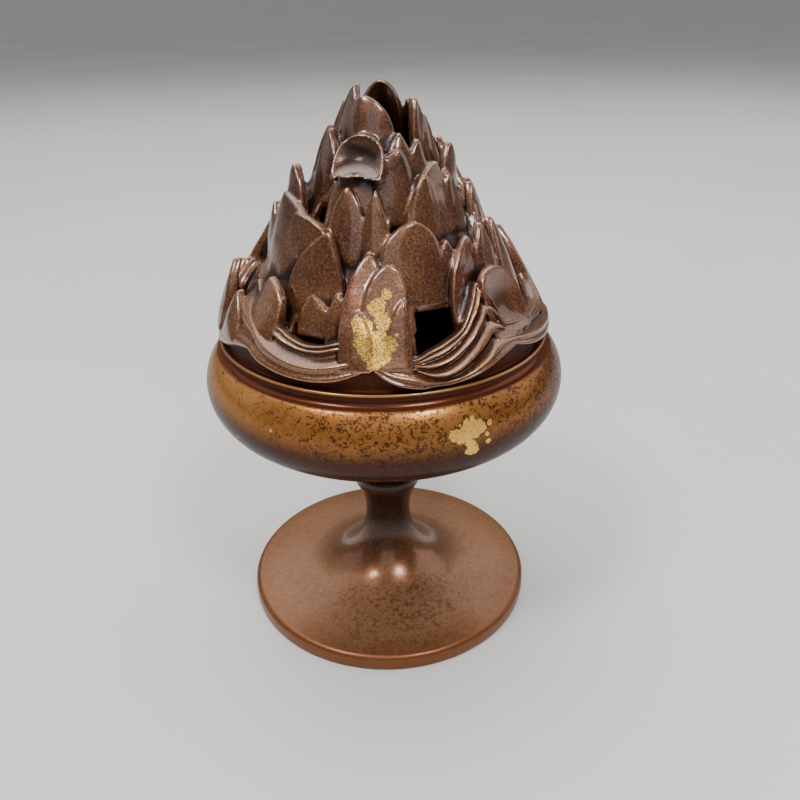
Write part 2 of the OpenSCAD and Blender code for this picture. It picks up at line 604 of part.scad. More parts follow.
// Turned ring of the lid: spigot, lip with two fine beads, plain hollow band and ledge.
module lid_rim_ring() {
  bead_x = lip_d / 2 - lip_bead_r;
  color("#4a2d1e")
  rotate_extrude() {
    translate([ring_in_r, rim_z - lid_spigot_h])
      square([lid_spigot_wall, lid_spigot_h + eps]);
    translate([ring_in_r, rim_z])
      square([bead_x - ring_in_r, lip_h]);
    translate([bead_x, rim_z + lip_bead_r])
      circle(r = lip_bead_r);
    translate([bead_x, lip_z - lip_bead_r])
      circle(r = lip_bead_r);
    difference() {
      translate([ring_in_r, lip_z - eps])
        square([bead_x - ring_in_r, cove_h + eps]);
      translate([cove_x, lip_z + cove_h / 2])
        circle(r = cove_r);
    }
  }
}

// Cast hill of the lid: pierced core, wave skirt and tiered peaks, set on the ledge of the ring.
module lid_mountain() {
  color("#54331f")
  difference() {
    union() {
      difference() {
        core_solid(0, 0);
        for (w = low_windows)
          window(w);
        for (w = high_windows)
          window(w);
      }
      wave_skirt();
      for (p = peaks)
        peak(p);
    }
    core_solid(core_wall, 1);
    translate([0, 0, lip_z - 5])
      cylinder(r = ledge_d / 2 + skirt_play, h = ledge_z - lip_z + 5, $fn = 84);
  }
}

pedestal_foot();
bowl();
tie_bolt();
tie_washer();
heat_pad();
holder_base();
holder_pin();
lid_rim_ring();
lid_mountain();
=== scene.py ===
"""Bronze hill censer: the looks of the bowl, the foot and the pierced hill lid."""

import json
import math
from types import SimpleNamespace

import bmesh
import bpy
import numpy as np
from mathutils import Matrix, Vector

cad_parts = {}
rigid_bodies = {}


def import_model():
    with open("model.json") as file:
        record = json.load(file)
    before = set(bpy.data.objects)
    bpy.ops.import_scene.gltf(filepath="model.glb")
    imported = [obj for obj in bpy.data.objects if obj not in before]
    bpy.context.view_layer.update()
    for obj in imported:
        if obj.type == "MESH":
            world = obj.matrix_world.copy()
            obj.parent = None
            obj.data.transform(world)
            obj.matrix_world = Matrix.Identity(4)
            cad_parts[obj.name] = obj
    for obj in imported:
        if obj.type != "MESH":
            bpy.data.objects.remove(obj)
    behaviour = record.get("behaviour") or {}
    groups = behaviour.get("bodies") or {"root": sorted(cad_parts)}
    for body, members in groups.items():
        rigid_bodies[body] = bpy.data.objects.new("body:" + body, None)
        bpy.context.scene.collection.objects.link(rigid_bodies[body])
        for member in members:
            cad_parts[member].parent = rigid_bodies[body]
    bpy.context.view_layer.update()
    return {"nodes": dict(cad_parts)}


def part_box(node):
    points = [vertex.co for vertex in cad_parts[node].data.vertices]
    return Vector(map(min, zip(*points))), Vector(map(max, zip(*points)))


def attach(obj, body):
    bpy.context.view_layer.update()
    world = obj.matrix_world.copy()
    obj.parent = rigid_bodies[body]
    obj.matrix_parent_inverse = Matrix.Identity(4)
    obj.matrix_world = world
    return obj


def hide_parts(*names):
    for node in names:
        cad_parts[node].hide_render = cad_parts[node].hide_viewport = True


bl_info = {
    "name": "Bronze Hill Censer",
    "version": (1, 0, 0),
    "blender": (4, 5, 0),
    "location": "3D View > Sidebar > Censer",
    "description": "Builds a bronze hill censer with a pierced lid over its packed solids",
    "category": "Object",
}

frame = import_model()
FOOT_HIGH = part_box("pedestal_foot")[1]
BOWL_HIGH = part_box("bowl")[1]
RING_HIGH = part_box("lid_rim_ring")[1]
PAD_LOW, PAD_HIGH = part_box("heat_pad")
MM = 0.001


# Node trees

def arithmetic(operation, swapped=False):
    """A method that stands for one Python operator and adds its Math node."""
    def method(self, other):
        return self.math(operation, other, self) if swapped else self.math(operation, self, other)
    return method


class Field:
    """One socket of a node tree that can stand in a Python expression."""

    __add__ = arithmetic("ADD")
    __radd__ = arithmetic("ADD", True)
    __sub__ = arithmetic("SUBTRACT")
    __rsub__ = arithmetic("SUBTRACT", True)
    __mul__ = arithmetic("MULTIPLY")
    __rmul__ = arithmetic("MULTIPLY", True)
    __truediv__ = arithmetic("DIVIDE")
    __pow__ = arithmetic("POWER")

    def __init__(self, tree, socket=None):
        self.tree = tree
        self.socket = socket

    def node(self, kind, sockets, out=0, **settings):
        """Add a node with its sockets and settings, and return one of its outputs."""
        made = self.tree.nodes.new(kind)
        for key, value in settings.items():
            setattr(made, key, value)
        for key, value in sockets.items():
            if isinstance(value, Field):
                self.tree.links.new(value.socket, made.inputs[key])
            else:
                made.inputs[key].default_value = value
        return Field(self.tree, made.outputs[out])

    def math(self, operation, *values, clamp=False):
        """Add a Math node for an operation on numbers."""
        return self.node("ShaderNodeMath", dict(enumerate(values)), operation=operation, use_clamp=clamp)

    def __neg__(self):
        return self.math("MULTIPLY", self, -1.0)

    def step(self, low, high):
        """Rise smoothly from 0 to 1 between two values."""
        return self.node("ShaderNodeMapRange", {0: self, 1: low, 2: high}, interpolation_type="SMOOTHSTEP")

    def clip(self):
        """Keep a number between 0 and 1."""
        return self.math("ADD", self, 0.0, clamp=True)

    def mix(self, low, high):
        """Mix two colours by this factor."""
        return self.node("ShaderNodeMix", {0: self, 6: low, 7: high}, 2, data_type="RGBA")

    def most(self, other):
        """The larger of two numbers."""
        return self.math("MAXIMUM", self, other)

    def parts(self):
        """Split a vector into its three numbers."""
        split = self.node("ShaderNodeSeparateXYZ", {0: self})
        return [Field(self.tree, out) for out in split.socket.node.outputs]


class Finish:
    """A surface material whose patterns are written as expressions on Object coordinates."""

    def __init__(self, name, **fixed):
        self.material = bpy.data.materials.new(name)
        self.material.use_nodes = True
        self.tree = self.material.node_tree
        self.shader = self.tree.nodes["Principled BSDF"]
        self.root = Field(self.tree)
        self.place = self.root.node("ShaderNodeTexCoord", {}, 3)
        for key, value in fixed.items():
            self.shader.inputs[key.replace("_", " ")].default_value = value

    def stretched(self, scale):
        """Object coordinates with a stretch of their own."""
        return self.root.node("ShaderNodeMapping", {"Vector": self.place, "Scale": scale})

    def noise(self, scale, detail=3.0, rough=0.55, bend=0.0, place=None):
        """Soft noise with a scale per metre."""
        return self.root.node("ShaderNodeTexNoise", {
            "Vector": place or self.place, "Scale": scale, "Detail": detail, "Roughness": rough,
            "Distortion": bend})

    def away_from(self, centre, stretch=(1.0, 1.0, 1.0)):
        """Distance from a point, in millimetres."""
        kind = "ShaderNodeVectorMath"
        shift = self.root.node(kind, {0: self.place, 1: [c * MM for c in centre]}, operation="SUBTRACT")
        wide = self.root.node(kind, {0: shift, 1: [s / MM for s in stretch]}, operation="MULTIPLY")
        return self.root.node(kind, {0: wide}, 1, operation="LENGTH")

    def from_axis(self, x=0.0, y=0.0):
        """Distance from an upright line, in millimetres."""
        return self.away_from((x, y, 0.0), (1.0, 1.0, 0.0))

    def height(self):
        """Height above the table, in millimetres."""
        return self.place.parts()[2] / MM

    def painted(self, name):
        """A number that the mesh carries for each point."""
        return self.root.node("ShaderNodeAttribute", {}, 2, attribute_name=name)

    def wear(self, **sockets):
        """Link the patterns to the surface shader."""
        for key, value in sockets.items():
            self.tree.links.new(value.socket, self.shader.inputs[key.replace("_", " ")])
        return self.material

    def bump(self, height, strength, distance):
        """Small relief from a height pattern."""
        values = {"Height": height, "Strength": strength, "Distance": distance}
        return self.root.node("ShaderNodeBump", values)


def rgb(code):
    """Linear colour from a six-figure hexadecimal code."""
    parts = [int(code[i:i + 2], 16) / 255 for i in (0, 2, 4)]
    return [c / 12.92 if c <= 0.04045 else ((c + 0.055) / 1.055) ** 2.4 for c in parts] + [1.0]


# Finishes

# Gold splashes: centre and radius in millimetres.
BOWL_GOLD = (
    (18.4, -40.8, 71.0, 2.5), (15.8, -41.9, 70.7, 1.5), (20.6, -39.7, 71.3, 1.5), (18.9, -40.9, 68.4, 1.3),
    (19.1, -40.7, 66.4, 1.5), (19.2, -40.0, 73.0, 0.9), (23.0, -38.2, 71.7, 0.6), (22.4, -38.7, 69.4, 0.5),
    (22.6, -38.6, 67.6, 0.6), (-23.9, -37.9, 70.3, 0.4), (-33.4, -29.5, 64.0, 0.4))
HILL_GOLD = (
    (1.7, -31.8, 98.4, 1.1), (-0.2, -33.4, 96.2, 1.9), (0.4, -34.9, 93.6, 1.7), (-4.4, -35.3, 93.2, 1.5),
    (-2.6, -35.6, 92.6, 1.5), (-3.6, -36.4, 90.8, 1.7), (-0.4, -37.0, 90.4, 2.4), (1.9, -37.3, 89.6, 1.7),
    (-2.2, -37.8, 88.8, 2.1), (0.6, -38.4, 87.8, 1.8), (-1.4, -39.2, 86.0, 1.3), (3.4, -36.7, 91.4, 0.4))
SHINE = rgb("7C5432")


def bowl_finish(look):
    """Golden brown patina with dark dashes, with painted shade towards the bottom and darker towards the
    right, with one splash of gold.
    """
    f = Finish("bowl_patina", Coat_Roughness=0.18, Specular_IOR_Level=0.25, Specular_Tint=SHINE)
    across, height = f.place.parts()[0] / MM, f.height()
    broad = f.noise(30.0, 4.0)
    fine = f.noise(1300.0, 3.0, 0.6, 0.4)
    worm = f.noise(520.0, 2.0, 0.55, 1.2, f.stretched((1.0, 1.0, 1.5)))
    gaps = f.noise(760.0, 2.0, 0.5, 0.6)
    right = across.step(-34.0, 8.0)
    thick = 0.024 + (broad - 0.5) * 0.05 + right * 0.046
    line = 1.0 - f.root.math("ABSOLUTE", worm - 0.5).step(thick * 0.6, thick)
    dashes = line * gaps.step(0.44, 0.54)
    dots = fine.step(0.56, 0.66) * (0.25 + right * 0.45)
    dark = dashes.most(dots)
    # Painted shade under the bowl: the colour darkens towards its bottom.
    low = 1.0 - (height + (broad - 0.5) * 5.0).step(65.5, 73.5)
    # Darker towards the right side of the bowl.
    side = (across + (broad - 0.5) * 30.0).step(16.0, 46.0)
    ground = (broad.step(0.35, 0.68) * 0.7 + side * 0.5).clip().mix(look.bowl_gold, look.bowl_amber)
    ground = (dark * 0.85).mix(ground, look.bowl_dash)
    ground = (low * 0.92).most(side * 0.45).mix(ground, look.bowl_dark_and_shade)
    ground = height.step(76.0, 76.5).mix(ground, look.lid_red)
    gold = gold_mask(f, BOWL_GOLD)
    leaf = (0.25 + fine.step(0.5, 0.66) * 0.3).mix(look.gold_leaf, look.gold_deep)
    colour = gold.mix(ground, leaf)
    rough = (0.25 + broad * 0.08 + dark * 0.06) * (1.0 - gold) + gold * 0.5
    relief = f.bump(fine * 0.5 + gold * 0.8, 0.10, 0.0004)
    return f.wear(Base_Color=colour, Roughness=rough, Metallic=0.55 + gold * 0.25,
                  Coat_Weight=0.25 * (1.0 - gold), Normal=relief)


def foot_finish(look):
    """Brown patina with fine mottling, gathered in front as painted shade, tan on the disc and painted
    shade almost black on the stem.
    """
    f = Finish("foot_patina", Coat_Roughness=0.09, Specular_IOR_Level=0.4)
    height, radius = f.height(), f.from_axis()
    broad = f.noise(38.0, 4.0)
    fine = f.noise(1700.0, 3.0, 0.6, 0.4)
    tan = (fine.step(0.35, 0.7) * 0.45 + broad * 0.45).mix(look.foot_brown, look.foot_tan)
    mottle = f.noise(750.0, 4.0, 0.65, 0.5)
    # The dark clouds are mottled patina; their gathering towards the front of the disc is painted shade.
    front = 1.0 - f.from_axis(4.0, -20.0).step(7.0, 25.0)
    clouds = mottle.step(0.48, 0.62) * (0.25 + front * 0.5) + broad.step(0.5, 0.75) * 0.3
    tan = clouds.clip().mix(tan, look.foot_umber_and_shade)
    # Painted shade: the stem under the bowl turns almost black.
    stem = (height + (broad - 0.5) * 5.0).step(11.0, 21.0)
    warm = height.step(5.5, 9.0) * (1.0 - stem)
    colour = (warm * 0.5).mix(tan, look.foot_edge)
    colour = (stem * 0.9).mix(colour, look.stem_painted_shade)
    edge = radius.step(36.9, 38.2).most((radius + broad * 8.0).step(34.0, 42.0) * 0.5)
    colour = (edge * 0.7).mix(colour, look.foot_edge)
    disc = radius.step(11.0, 20.0)
    rough = 0.22 + fine * 0.12 + disc * 0.12
    relief = f.bump(fine, 0.05, 0.0003)
    return f.wear(Base_Color=colour, Roughness=rough, Metallic=0.5 + edge * 0.2,
                  Coat_Weight=0.4 - stem * 0.25 - disc * 0.26, Normal=relief)


def band_finish(look):
    """Plain dark brown of the ring, with bright worn beads."""
    f = Finish("band_patina", Coat_Roughness=0.2, Specular_IOR_Level=0.2, Specular_Tint=SHINE)
    height, radius = f.height(), f.from_axis()
    broad = f.noise(60.0, 4.0)
    fine = f.noise(1500.0, 3.0, 0.6)
    colour = (fine.step(0.35, 0.75) * 0.3 + 0.3).mix(look.lid_dark_and_shade, look.lid_red)
    rub = radius.step(39.95, 40.2) * height.step(79.1, 79.4) * (1.0 - height.step(79.75, 79.9))
    rub = rub * (0.55 + broad * 0.7).clip()
    colour = rub.mix(colour, look.worn_edge)
    rough = 0.44 - rub * 0.18 + fine * 0.08
    return f.wear(Base_Color=colour, Roughness=rough, Metallic=0.5 + rub * 0.35,
                  Coat_Weight=0.06 + rub * 0.5, Normal=f.bump(fine, 0.08, 0.0003))


def gold_mask(f, spots):
    """Ragged splashes round a few points."""
    rag = (f.noise(420.0, 3.0, 0.6, 0.5) - 0.5) * 3.0 + (f.noise(1500.0, 2.0, 0.5) - 0.5) * 1.4
    mask = None
    for x, y, z, radius in spots:
        near = f.away_from((x, y, z), (1.0, 0.6, 1.0)) + rag * min(1.0, radius / 1.6)
        spot = 1.0 - near.step(radius - 0.1, radius + 0.1)
        mask = mask.most(spot) if mask else spot
    return mask


def hill_finish(look):
    """Dark reddish brown patina of the hill, with dark grain, darker towards the top and painted shade in
    its recesses, rubbed bright on its edges, with grainy gold in front.
    """
    f = Finish("hill_patina", Coat_Roughness=0.13, Coat_IOR=1.8, Specular_IOR_Level=0.4)
    worn = f.painted("worn")
    # Painted shade in the recesses, weaker inside the hollow peak on the right.
    outside = f.away_from((26.0, -21.5, 92.0)).step(4.0, 9.0)
    deep = f.painted("deep") * (0.3 + outside * 0.7)
    broad = f.noise(55.0, 4.0)
    fine = f.noise(1700.0, 3.0, 0.6, 0.5)
    grit = f.noise(3000.0, 2.0, 0.5)
    ground = broad.step(0.36, 0.66).mix(look.lid_brown, look.lid_red)
    ground = (fine.step(0.46, 0.66) * 0.6).mix(ground, look.lid_tan)
    # Dark grain of the patina.
    ground = (grit.step(0.5, 0.62) * 0.64).mix(ground, look.lid_dark_and_shade)
    # Darker towards the top.
    ground = ((f.height() + (broad - 0.5) * 20.0).step(96.0, 128.0) * 0.5).mix(ground, look.lid_dark_and_shade)
    # Painted shade: dark in the recesses and grooves.
    ground = (deep.step(0.03, 0.55) * 0.94).mix(ground, look.lid_dark_and_shade)
    rub = (worn * (0.5 + broad) + (fine - 0.5) * 0.5 * worn).step(0.4, 1.1)
    ground = (rub * 0.6).mix(ground, look.worn_edge)
    gold = gold_mask(f, HILL_GOLD)
    pits = f.noise(1800.0, 2.0, 0.5).step(0.56, 0.66)
    gold = gold * (1.0 - pits * 0.7)
    leaf = grit.step(0.4, 0.56).mix(look.gold_deep, look.gold_leaf)
    colour = gold.mix(ground, leaf)
    rough = (0.28 + fine * 0.14 - rub * 0.14) * (1.0 - gold) + gold * 0.4
    relief = f.bump(fine * 0.6 + grit * 0.4 + gold * 0.5, 0.16, 0.0004)
    return f.wear(Base_Color=colour, Roughness=rough, Metallic=0.6 + rub * 0.2 + gold * 0.3,
                  Coat_Weight=(0.65 - deep * 0.6 + rub * 0.3) * (1.0 - gold), Normal=relief)


def brass_finish(look):
    """Satin brass of the pin stand, brushed round its axis."""
    f = Finish("satin_brass")
    lines = f.noise(260.0, 3.0, 0.6, 0.0, f.stretched((0.4, 0.4, 9.0)))
    spots = f.noise(220.0, 3.0)
    colour = spots.step(0.35, 0.7).mix(look.brass_dark, look.brass)
    return f.wear(Base_Color=colour, Roughness=0.28 + lines * 0.18, Metallic=0.92 - spots * 0.1,
                  Normal=f.bump(lines, 0.08, 0.0002))


def steel_finish(look):
    """Dull plated steel of the bolt and washer."""
    f = Finish("plated_steel")
    lines = f.noise(300.0, 3.0, 0.6, 0.0, f.stretched((5.0, 5.0, 0.6)))
    colour = lines.step(0.3, 0.7).mix(look.steel_dark, look.steel)
    return f.wear(Base_Color=colour, Roughness=0.34 + lines * 0.18, Metallic=0.95 - lines * 0.08)


def fibre_finish(look):
    """Matted mineral fibre of the heat pad, a little scorched in the middle."""
    f = Finish("fibre_pad")
    strands = f.noise(900.0, 4.0, 0.7, 2.2, f.stretched((1.0, 0.35, 1.0)))
    cross = f.noise(900.0, 4.0, 0.7, 2.2, f.stretched((0.35, 1.0, 1.0)))
    weave = strands.most(cross)
    scorch = 1.0 - (f.away_from((0.0, 0.0, 55.0)) + (f.noise(160.0, 3.0) - 0.5) * 10.0).step(6.0, 17.0)
    colour = weave.step(0.4, 0.75).mix(look.fibre_grey, look.fibre_pale)
    colour = (scorch * 0.55).mix(colour, look.scorch)
    return f.wear(Base_Color=colour, Roughness=0.85 + weave * 0.12,
                  Normal=f.bump(weave, 0.5, 0.0004))


def floor_finish(look):
    """Pale matt floor with the faintest unevenness."""
    f = Finish("pale_floor")
    cloud = f.noise(3.0, 3.0)
    colour = cloud.step(0.3, 0.7).mix(look.floor_low, look.floor_high)
    return f.wear(Base_Color=colour, Roughness=0.6 + cloud * 0.1)


# Meshes

def plain_mesh(name, points, faces):
    """A mesh from millimetre points."""
    mesh = bpy.data.meshes.new(name)
    mesh.from_pydata((np.asarray(points) * MM).tolist(), [], faces)
    mesh.validate()
    mesh.update()
    return mesh


def linked(name, data):
    """A new object in the scene."""
    item = bpy.data.objects.new(name, data)
    bpy.context.scene.collection.objects.link(item)
    return item


def finished(carrier):
    """Plain mesh of an object after its modifiers; the object goes."""
    seen = bpy.context.evaluated_depsgraph_get()
    mesh = bpy.data.meshes.new_from_object(carrier.evaluated_get(seen))
    bpy.data.objects.remove(carrier)
    return mesh


def place(name, points, faces, finish, body=None, node=None, slot=None, painted=None):
    """Make a smooth mesh piece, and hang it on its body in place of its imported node."""
    mesh = plain_mesh(name, points, faces)
    mesh.polygons.foreach_set("use_smooth", [True] * len(mesh.polygons))
    for key, values in (painted or {}).items():
        mesh.attributes.new(key, "FLOAT", "POINT").data.foreach_set("value", values)
    mesh.materials.append(finish)
    piece = linked(name, mesh)
    if body:
        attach(piece, body)
        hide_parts(node)
    return piece


def arc(x, z, r, start, end, count):
    """Points on an arc of a half section, from one angle to another in degrees."""
    turn = np.radians(np.linspace(start, end, count))
    return [(x + r * math.cos(a), z + r * math.sin(a)) for a in turn]


def eased(corner, before, after, size, count=4):
    """Points that round one corner of a half section."""
    p, a, b = (np.array(v, float) for v in (corner, before, after))
    start = p + (a - p) / np.linalg.norm(a - p) * size
    end = p + (b - p) / np.linalg.norm(b - p) * size
    t = np.linspace(0.0, 1.0, count)[:, None]
    return [tuple(q) for q in (1 - t) ** 2 * start + 2 * t * (1 - t) * p + t ** 2 * end]


def turned(profile, sides=240):
    """Points and faces of a closed half section turned round the axis."""
    points, faces, rings = [], [], []
    turn = np.arange(sides) * 2 * math.pi / sides
    for x, z in profile:
        if x < 1e-6:
            rings.append([len(points)] * sides)
            points.append((0.0, 0.0, z))
        else:
            rings.append(list(range(len(points), len(points) + sides)))
            points += [(x * math.sin(a), -x * math.cos(a), z) for a in turn]
    for low, high in zip(rings, rings[1:] + rings[:1]):
        for i in range(sides):
            j = (i + 1) % sides
            corners = tuple(dict.fromkeys((low[i], low[j], high[j], high[i])))
            if len(corners) > 2:
                faces.append(corners)
    return points, faces


def ring_faces(rings, count, closed=False):
    """Faces between neighbouring rings of points, and between the last and the first if closed."""
    faces = []
    for i in range(rings if closed else rings - 1):
        low, high = i * count, (i + 1) % rings * count
        for j in range(count):
            k = (j + 1) % count
            faces.append((low + j, low + k, high + k, high + j))
    return faces


# The hill rule

# Azimuths of the scallop tips, in degrees from the front.
TIPS = (-3, 48, 101, 154, 206, 259, 312, 357)

# Each peak: azimuth, reach to the left and right, base height, tip height, sideways place of the tip,
# roundness of the left and right shoulder, set-in of the base, stand-out of the tip, fold of the face
# (keel positive, dish negative), sharpness of the tip. Heights count from the lowest line of the hill.
RIM_PEAKS = (
    (-7.4, 4.5, 5.5, 2.8, 23, 1.4, 3, 3.5, -0.4, -0.6, 0.6, 0.65),
    (1.2, 5, 5.4, 3, 21.8, 1.6, 3.2, 6, -1, 1.4, -0.5, 0.6),
    (-8.5, 3.2, 4, 2.4, 13.4, 0.6, 4, 3, -1, 2.2, 0.4, 0.8),
    (6, 3, 2.8, 0.4, 15.5, 1.5, 3, 5, -0.4, 2, 0.4, 0.8),
    (-48, 6.5, 6, 3, 16.8, -1.2, 1.7, 6, -0.4, 0.5, 0.6, 1),
    (-63, 4, 4.5, 2, 12.4, -0.6, 3, 2.4, -1.2, 2.4, 0.5, 1),
    (-80, 5, 5, 1, 16.8, -0.5, 3, 2.6, -1, 4, 0.5, 0.9),
    (-26.5, 4.2, 5.6, 6.2, 14.7, -1, 4, 2.4, 4, -2, 0.4, 1),
    (-17.2, 2, 2.8, 4, 15.4, 0.3, 6, 5, 3, -1.5, 0.3, 0.8),
    (41, 7, 5, 5, 24.6, 2.6, 2.6, 4, 3, 0.3, -0.5, 0.85),
    (55, 5.5, 5, 8, 26.6, 0.6, 2.4, 3, 4, 2, 0.8, 0.85),
    (72, 5, 5, 6, 26.2, 0, 2.4, 3, 3, 1.5, 0.8, 0.85),
    (53, 8, 6.4, 4, 18.8, -2.4, 8, 3.5, -0.4, 2.8, -3, 0.6),
    (80, 5, 5, 7, 17, 0, 2, 2, 4, -2, 0.5, 0.9), (98, 5.5, 5.5, 2, 21, 1, 2.6, 2.2, -1, 1, 0.7, 0.9),
    (107, 4, 4.5, 2, 17, -0.5, 2.6, 3, -1, 2, 0.4, 0.8),
    (128, 5.6, 5.6, 7, 18, 1, 2.6, 2, 4, -2, 0.5, 1), (150, 6, 6, 1, 23, 1.5, 3, 2.4, -1, 0.5, 0.8, 0.9),
    (160, 4, 4.5, 1, 17, -0.5, 3, 4, -1, 2, -1.4, 0.7), (181, 6, 5, 7, 17, -1, 2, 2.6, 4, -2, 0.5, 1),
    (202, 5.5, 6, 1, 21, 1, 2.4, 3, -1, 1, 0.7, 0.9), (212, 4, 4, 1, 16, 0, 3, 3, -1, 2, 0.4, 0.8),
    (233, 5, 6, 7, 18, 1, 2.6, 2, 4, -2, 0.5, 1), (255, 6, 6, 1, 23, 1, 3, 2.4, -1, 0.5, 0.8, 0.9),
    (264, 4, 4, 2, 14, 0, 2.6, 2.6, -1, 2, 0.4, 0.8))
UPPER_PEAKS = (
    (-57, 10, 9, 11, 32.8, -3.5, 3, 8, 6, 2.5, 0.6, 1),
    (-38, 8, 6.4, 13, 29.8, -4, 4, 8, 6, 1.8, 0.4, 0.8),
    (-80, 6, 6, 13, 29.6, 0, 2.4, 2.4, 6, 2, 0.6, 1),
    (-26, 9.2, 6, 10, 27.4, 1.3, 3, 2, 4.4, 2.4, 0.4, 1),
    (16, 8, 8.2, 11, 28.8, 1.2, 4, 3.3, 5, 0.5, 0.8, 0.65),
    (36, 4, 4, 13, 24.5, -0.5, 2, 2, 5, -1, 0.5, 0.9), (73, 8, 8, 12, 30, 1, 2.4, 2, 6, 0, 0.8, 1),
    (103, 9, 8, 11, 32, 1, 2.2, 2.8, 6, 1, 0.9, 1), (133, 8, 8, 12, 28, -1, 3, 2.2, 6, 0, 0.8, 0.7),
    (163, 9, 9, 11, 31, -2, 2.2, 2.6, 6, 1, 0.9, 1), (192, 8, 8, 12, 28, 1.5, 2.6, 2, 6, 0, 0.8, 0.8),
    (222, 9, 8, 11, 32, 0, 2.8, 2.2, 6, 1, 0.9, 1), (251, 8, 8, 12, 28, 1.5, 2.2, 3, 6, 0.5, 0.8, 0.7),
    (-20, 4.6, 5.2, 20, 35.3, 0, 2.4, 3, 4, 0.8, 0.5, 0.8),
    (-2, 3, 3.6, 19, 34.9, 0.1, 3, 2.4, 4, 0.8, 0.5, 1),
    (38, 8.6, 5.2, 22, 39, 3.4, 2.4, 4, 5, 0.5, 0.6, 0.85),
    (30, 4.5, 3.5, 22, 37.3, 0.8, 2.4, 3, 5, 1, 0.5, 0.85),
    (56, 4.5, 4, 22, 37, -0.5, 2.4, 2.4, 5, 1, 0.5, 0.9),
    (-64, 4, 6, 23, 38.6, -0.3, 3, 2.6, 4, 4.2, 0.4, 0.8),
    (76, 4.5, 4.5, 20, 33.5, 0, 2.4, 2.4, 5, 1.5, 0.5, 0.9),
    (108, 6, 6, 22, 36, 1, 2.2, 2.8, 5, 0.5, 0.7, 0.9), (138, 6, 6, 21, 35, -1, 2.6, 2.2, 5, 0, 0.7, 1),
    (168, 6, 6, 22, 38, 0, 2.4, 2.6, 5, 0.5, 0.7, 0.8), (198, 6, 6, 21, 35.5, 1, 2.6, 2.2, 5, 0, 0.7, 1),
    (228, 6, 6, 22, 38, 0, 2.8, 2.4, 5, 1, 0.7, 0.9), (258, 5, 5, 21, 34, 0.5, 2.4, 2.8, 5, 1, 0.5, 0.9),
    (-17, 5.8, 6.3, 36.4, 44.9, 0.3, 4, 4, -0.6, 0.4, -2.8, 0.6),
    (-20, 6, 6.6, 26, 37.4, 2, 5, 7, 5, -2.2, 0.3, 0.6),
    (15, 4.6, 5.5, 28, 45, 1.7, 2.6, 2.8, 5, 0.3, 0.6, 0.9),
    (12, 4.6, 4.6, 27, 42, 1.5, 5, 3, 5, 0.8, 0.5, 0.8),
    (36, 5, 3.4, 28, 43.6, 1.2, 2.6, 3, 5, 0.3, 0.5, 0.9),
    (-52, 4.5, 4.5, 30, 45.6, -1.4, 2.6, 2.4, 5, 1, 0.5, 0.9),
    (66, 5, 5, 29, 42.4, 0, 2.4, 2.8, 5, 3.6, 0.5, 0.9),
    (104, 5, 5, 29, 42, 0.5, 2.4, 2.8, 5, 0.6, 0.5, 0.9),
    (138, 5.5, 5.5, 30, 45, -0.5, 2.8, 2.4, 5, 0.5, 0.6, 0.8),
    (172, 5.5, 5.5, 28, 44, 0.5, 2.6, 2.2, 5, 0, 0.6, 1),
    (206, 5.5, 5.5, 30, 46, -0.5, 2.4, 2.6, 5, 0.5, 0.6, 0.8),
    (240, 5, 5, 29, 44.5, 0.5, 2.6, 2.2, 5, 1, 0.5, 0.9),
    (272, 4.5, 4.5, 27, 34, 0, 2.4, 2.4, 5, -0.5, 0.5, 0.9),
    (-12, 4.8, 6.6, 37, 52, -2, 6, 3.4, 5, 0.5, 0.5, 0.65),
    (-58, 4.6, 4.4, 37, 54, 0.5, 3, 3, 5, 0.8, 0.4, 0.9),
    (58, 3.4, 3.8, 37, 51.3, 0.4, 2.2, 2.8, 5, 2.2, 0.4, 0.9),
    (72, 4, 4, 34, 47.5, 0, 2.4, 2.4, 5, 0.8, 0.4, 0.9),
    (126, 4.5, 4.5, 37, 50, 0, 2.4, 2.4, 5, 1, 0.4, 0.9),
    (180, 7, 6.4, 37, 54, -0.7, 4, 3, 5, 0.5, 0.5, 0.65),
    (236, 4.5, 4.5, 37, 50, 0, 2.4, 2.4, 5, 1, 0.4, 0.9))
# Windows of the core: azimuth, half width in degrees, sill and head height.
LOW_WINDOWS = ((23, 10.5, 3, 12.5), (74, 9, 4, 12), (127, 10, 4, 12.5), (180, 10, 4, 12),
               (233, 10, 4, 12.5), (-74, 9, 4, 12), (-27, 10, 3, 10))
HIGH_WINDOWS = ((12, 5, 26, 31), (46, 5, 25, 30), (-42, 5, 27, 31), (88, 5, 26, 30))
HIGH_WINDOWS += tuple((azimuth, 5, 26, 31) for azimuth in range(118, 269, 30))

# Wave lines of a valley, from scallop to sill: heights at nine even places between two scallop tips.
VALLEY_RIGHT = (
    (3, 0.2, -1.2, -1.5, -1.6, -0.8, 0.5, 1.6, 2.6),
    (4.6, 3, 2, 0, -0.2, 1.2, 3, 5.4, 5),
    (5.8, 4, 2.7, 1.8, 2.6, 4.6, 7.2, 9, 5.4),
    (6.6, 5, 3.1, 3.5, 4.6, 6.7, 10, 12.5, 5.8),
    (7.6, 6, 3.7, 5.1, 6.5, 8.2, 12.5, 15.5, 6.5))
VALLEY_LEFT = (
    (2.4, 1, 0.3, -0.2, -0.4, -0.3, 0.2, 1.4, 3),
    (9.2, 6.9, 5.4, 4.5, 4, 4.1, 4.9, 5.8, 6.6),
    (9.4, 7.1, 5.6, 4.7, 4.2, 4.3, 5.1, 6, 6.8),
    (9.6, 7.3, 5.8, 4.9, 4.4, 4.5, 5.3, 6.2, 7),
    (10, 7.8, 8, 6.7, 5.9, 6.1, 7, 7.6, 7.6))
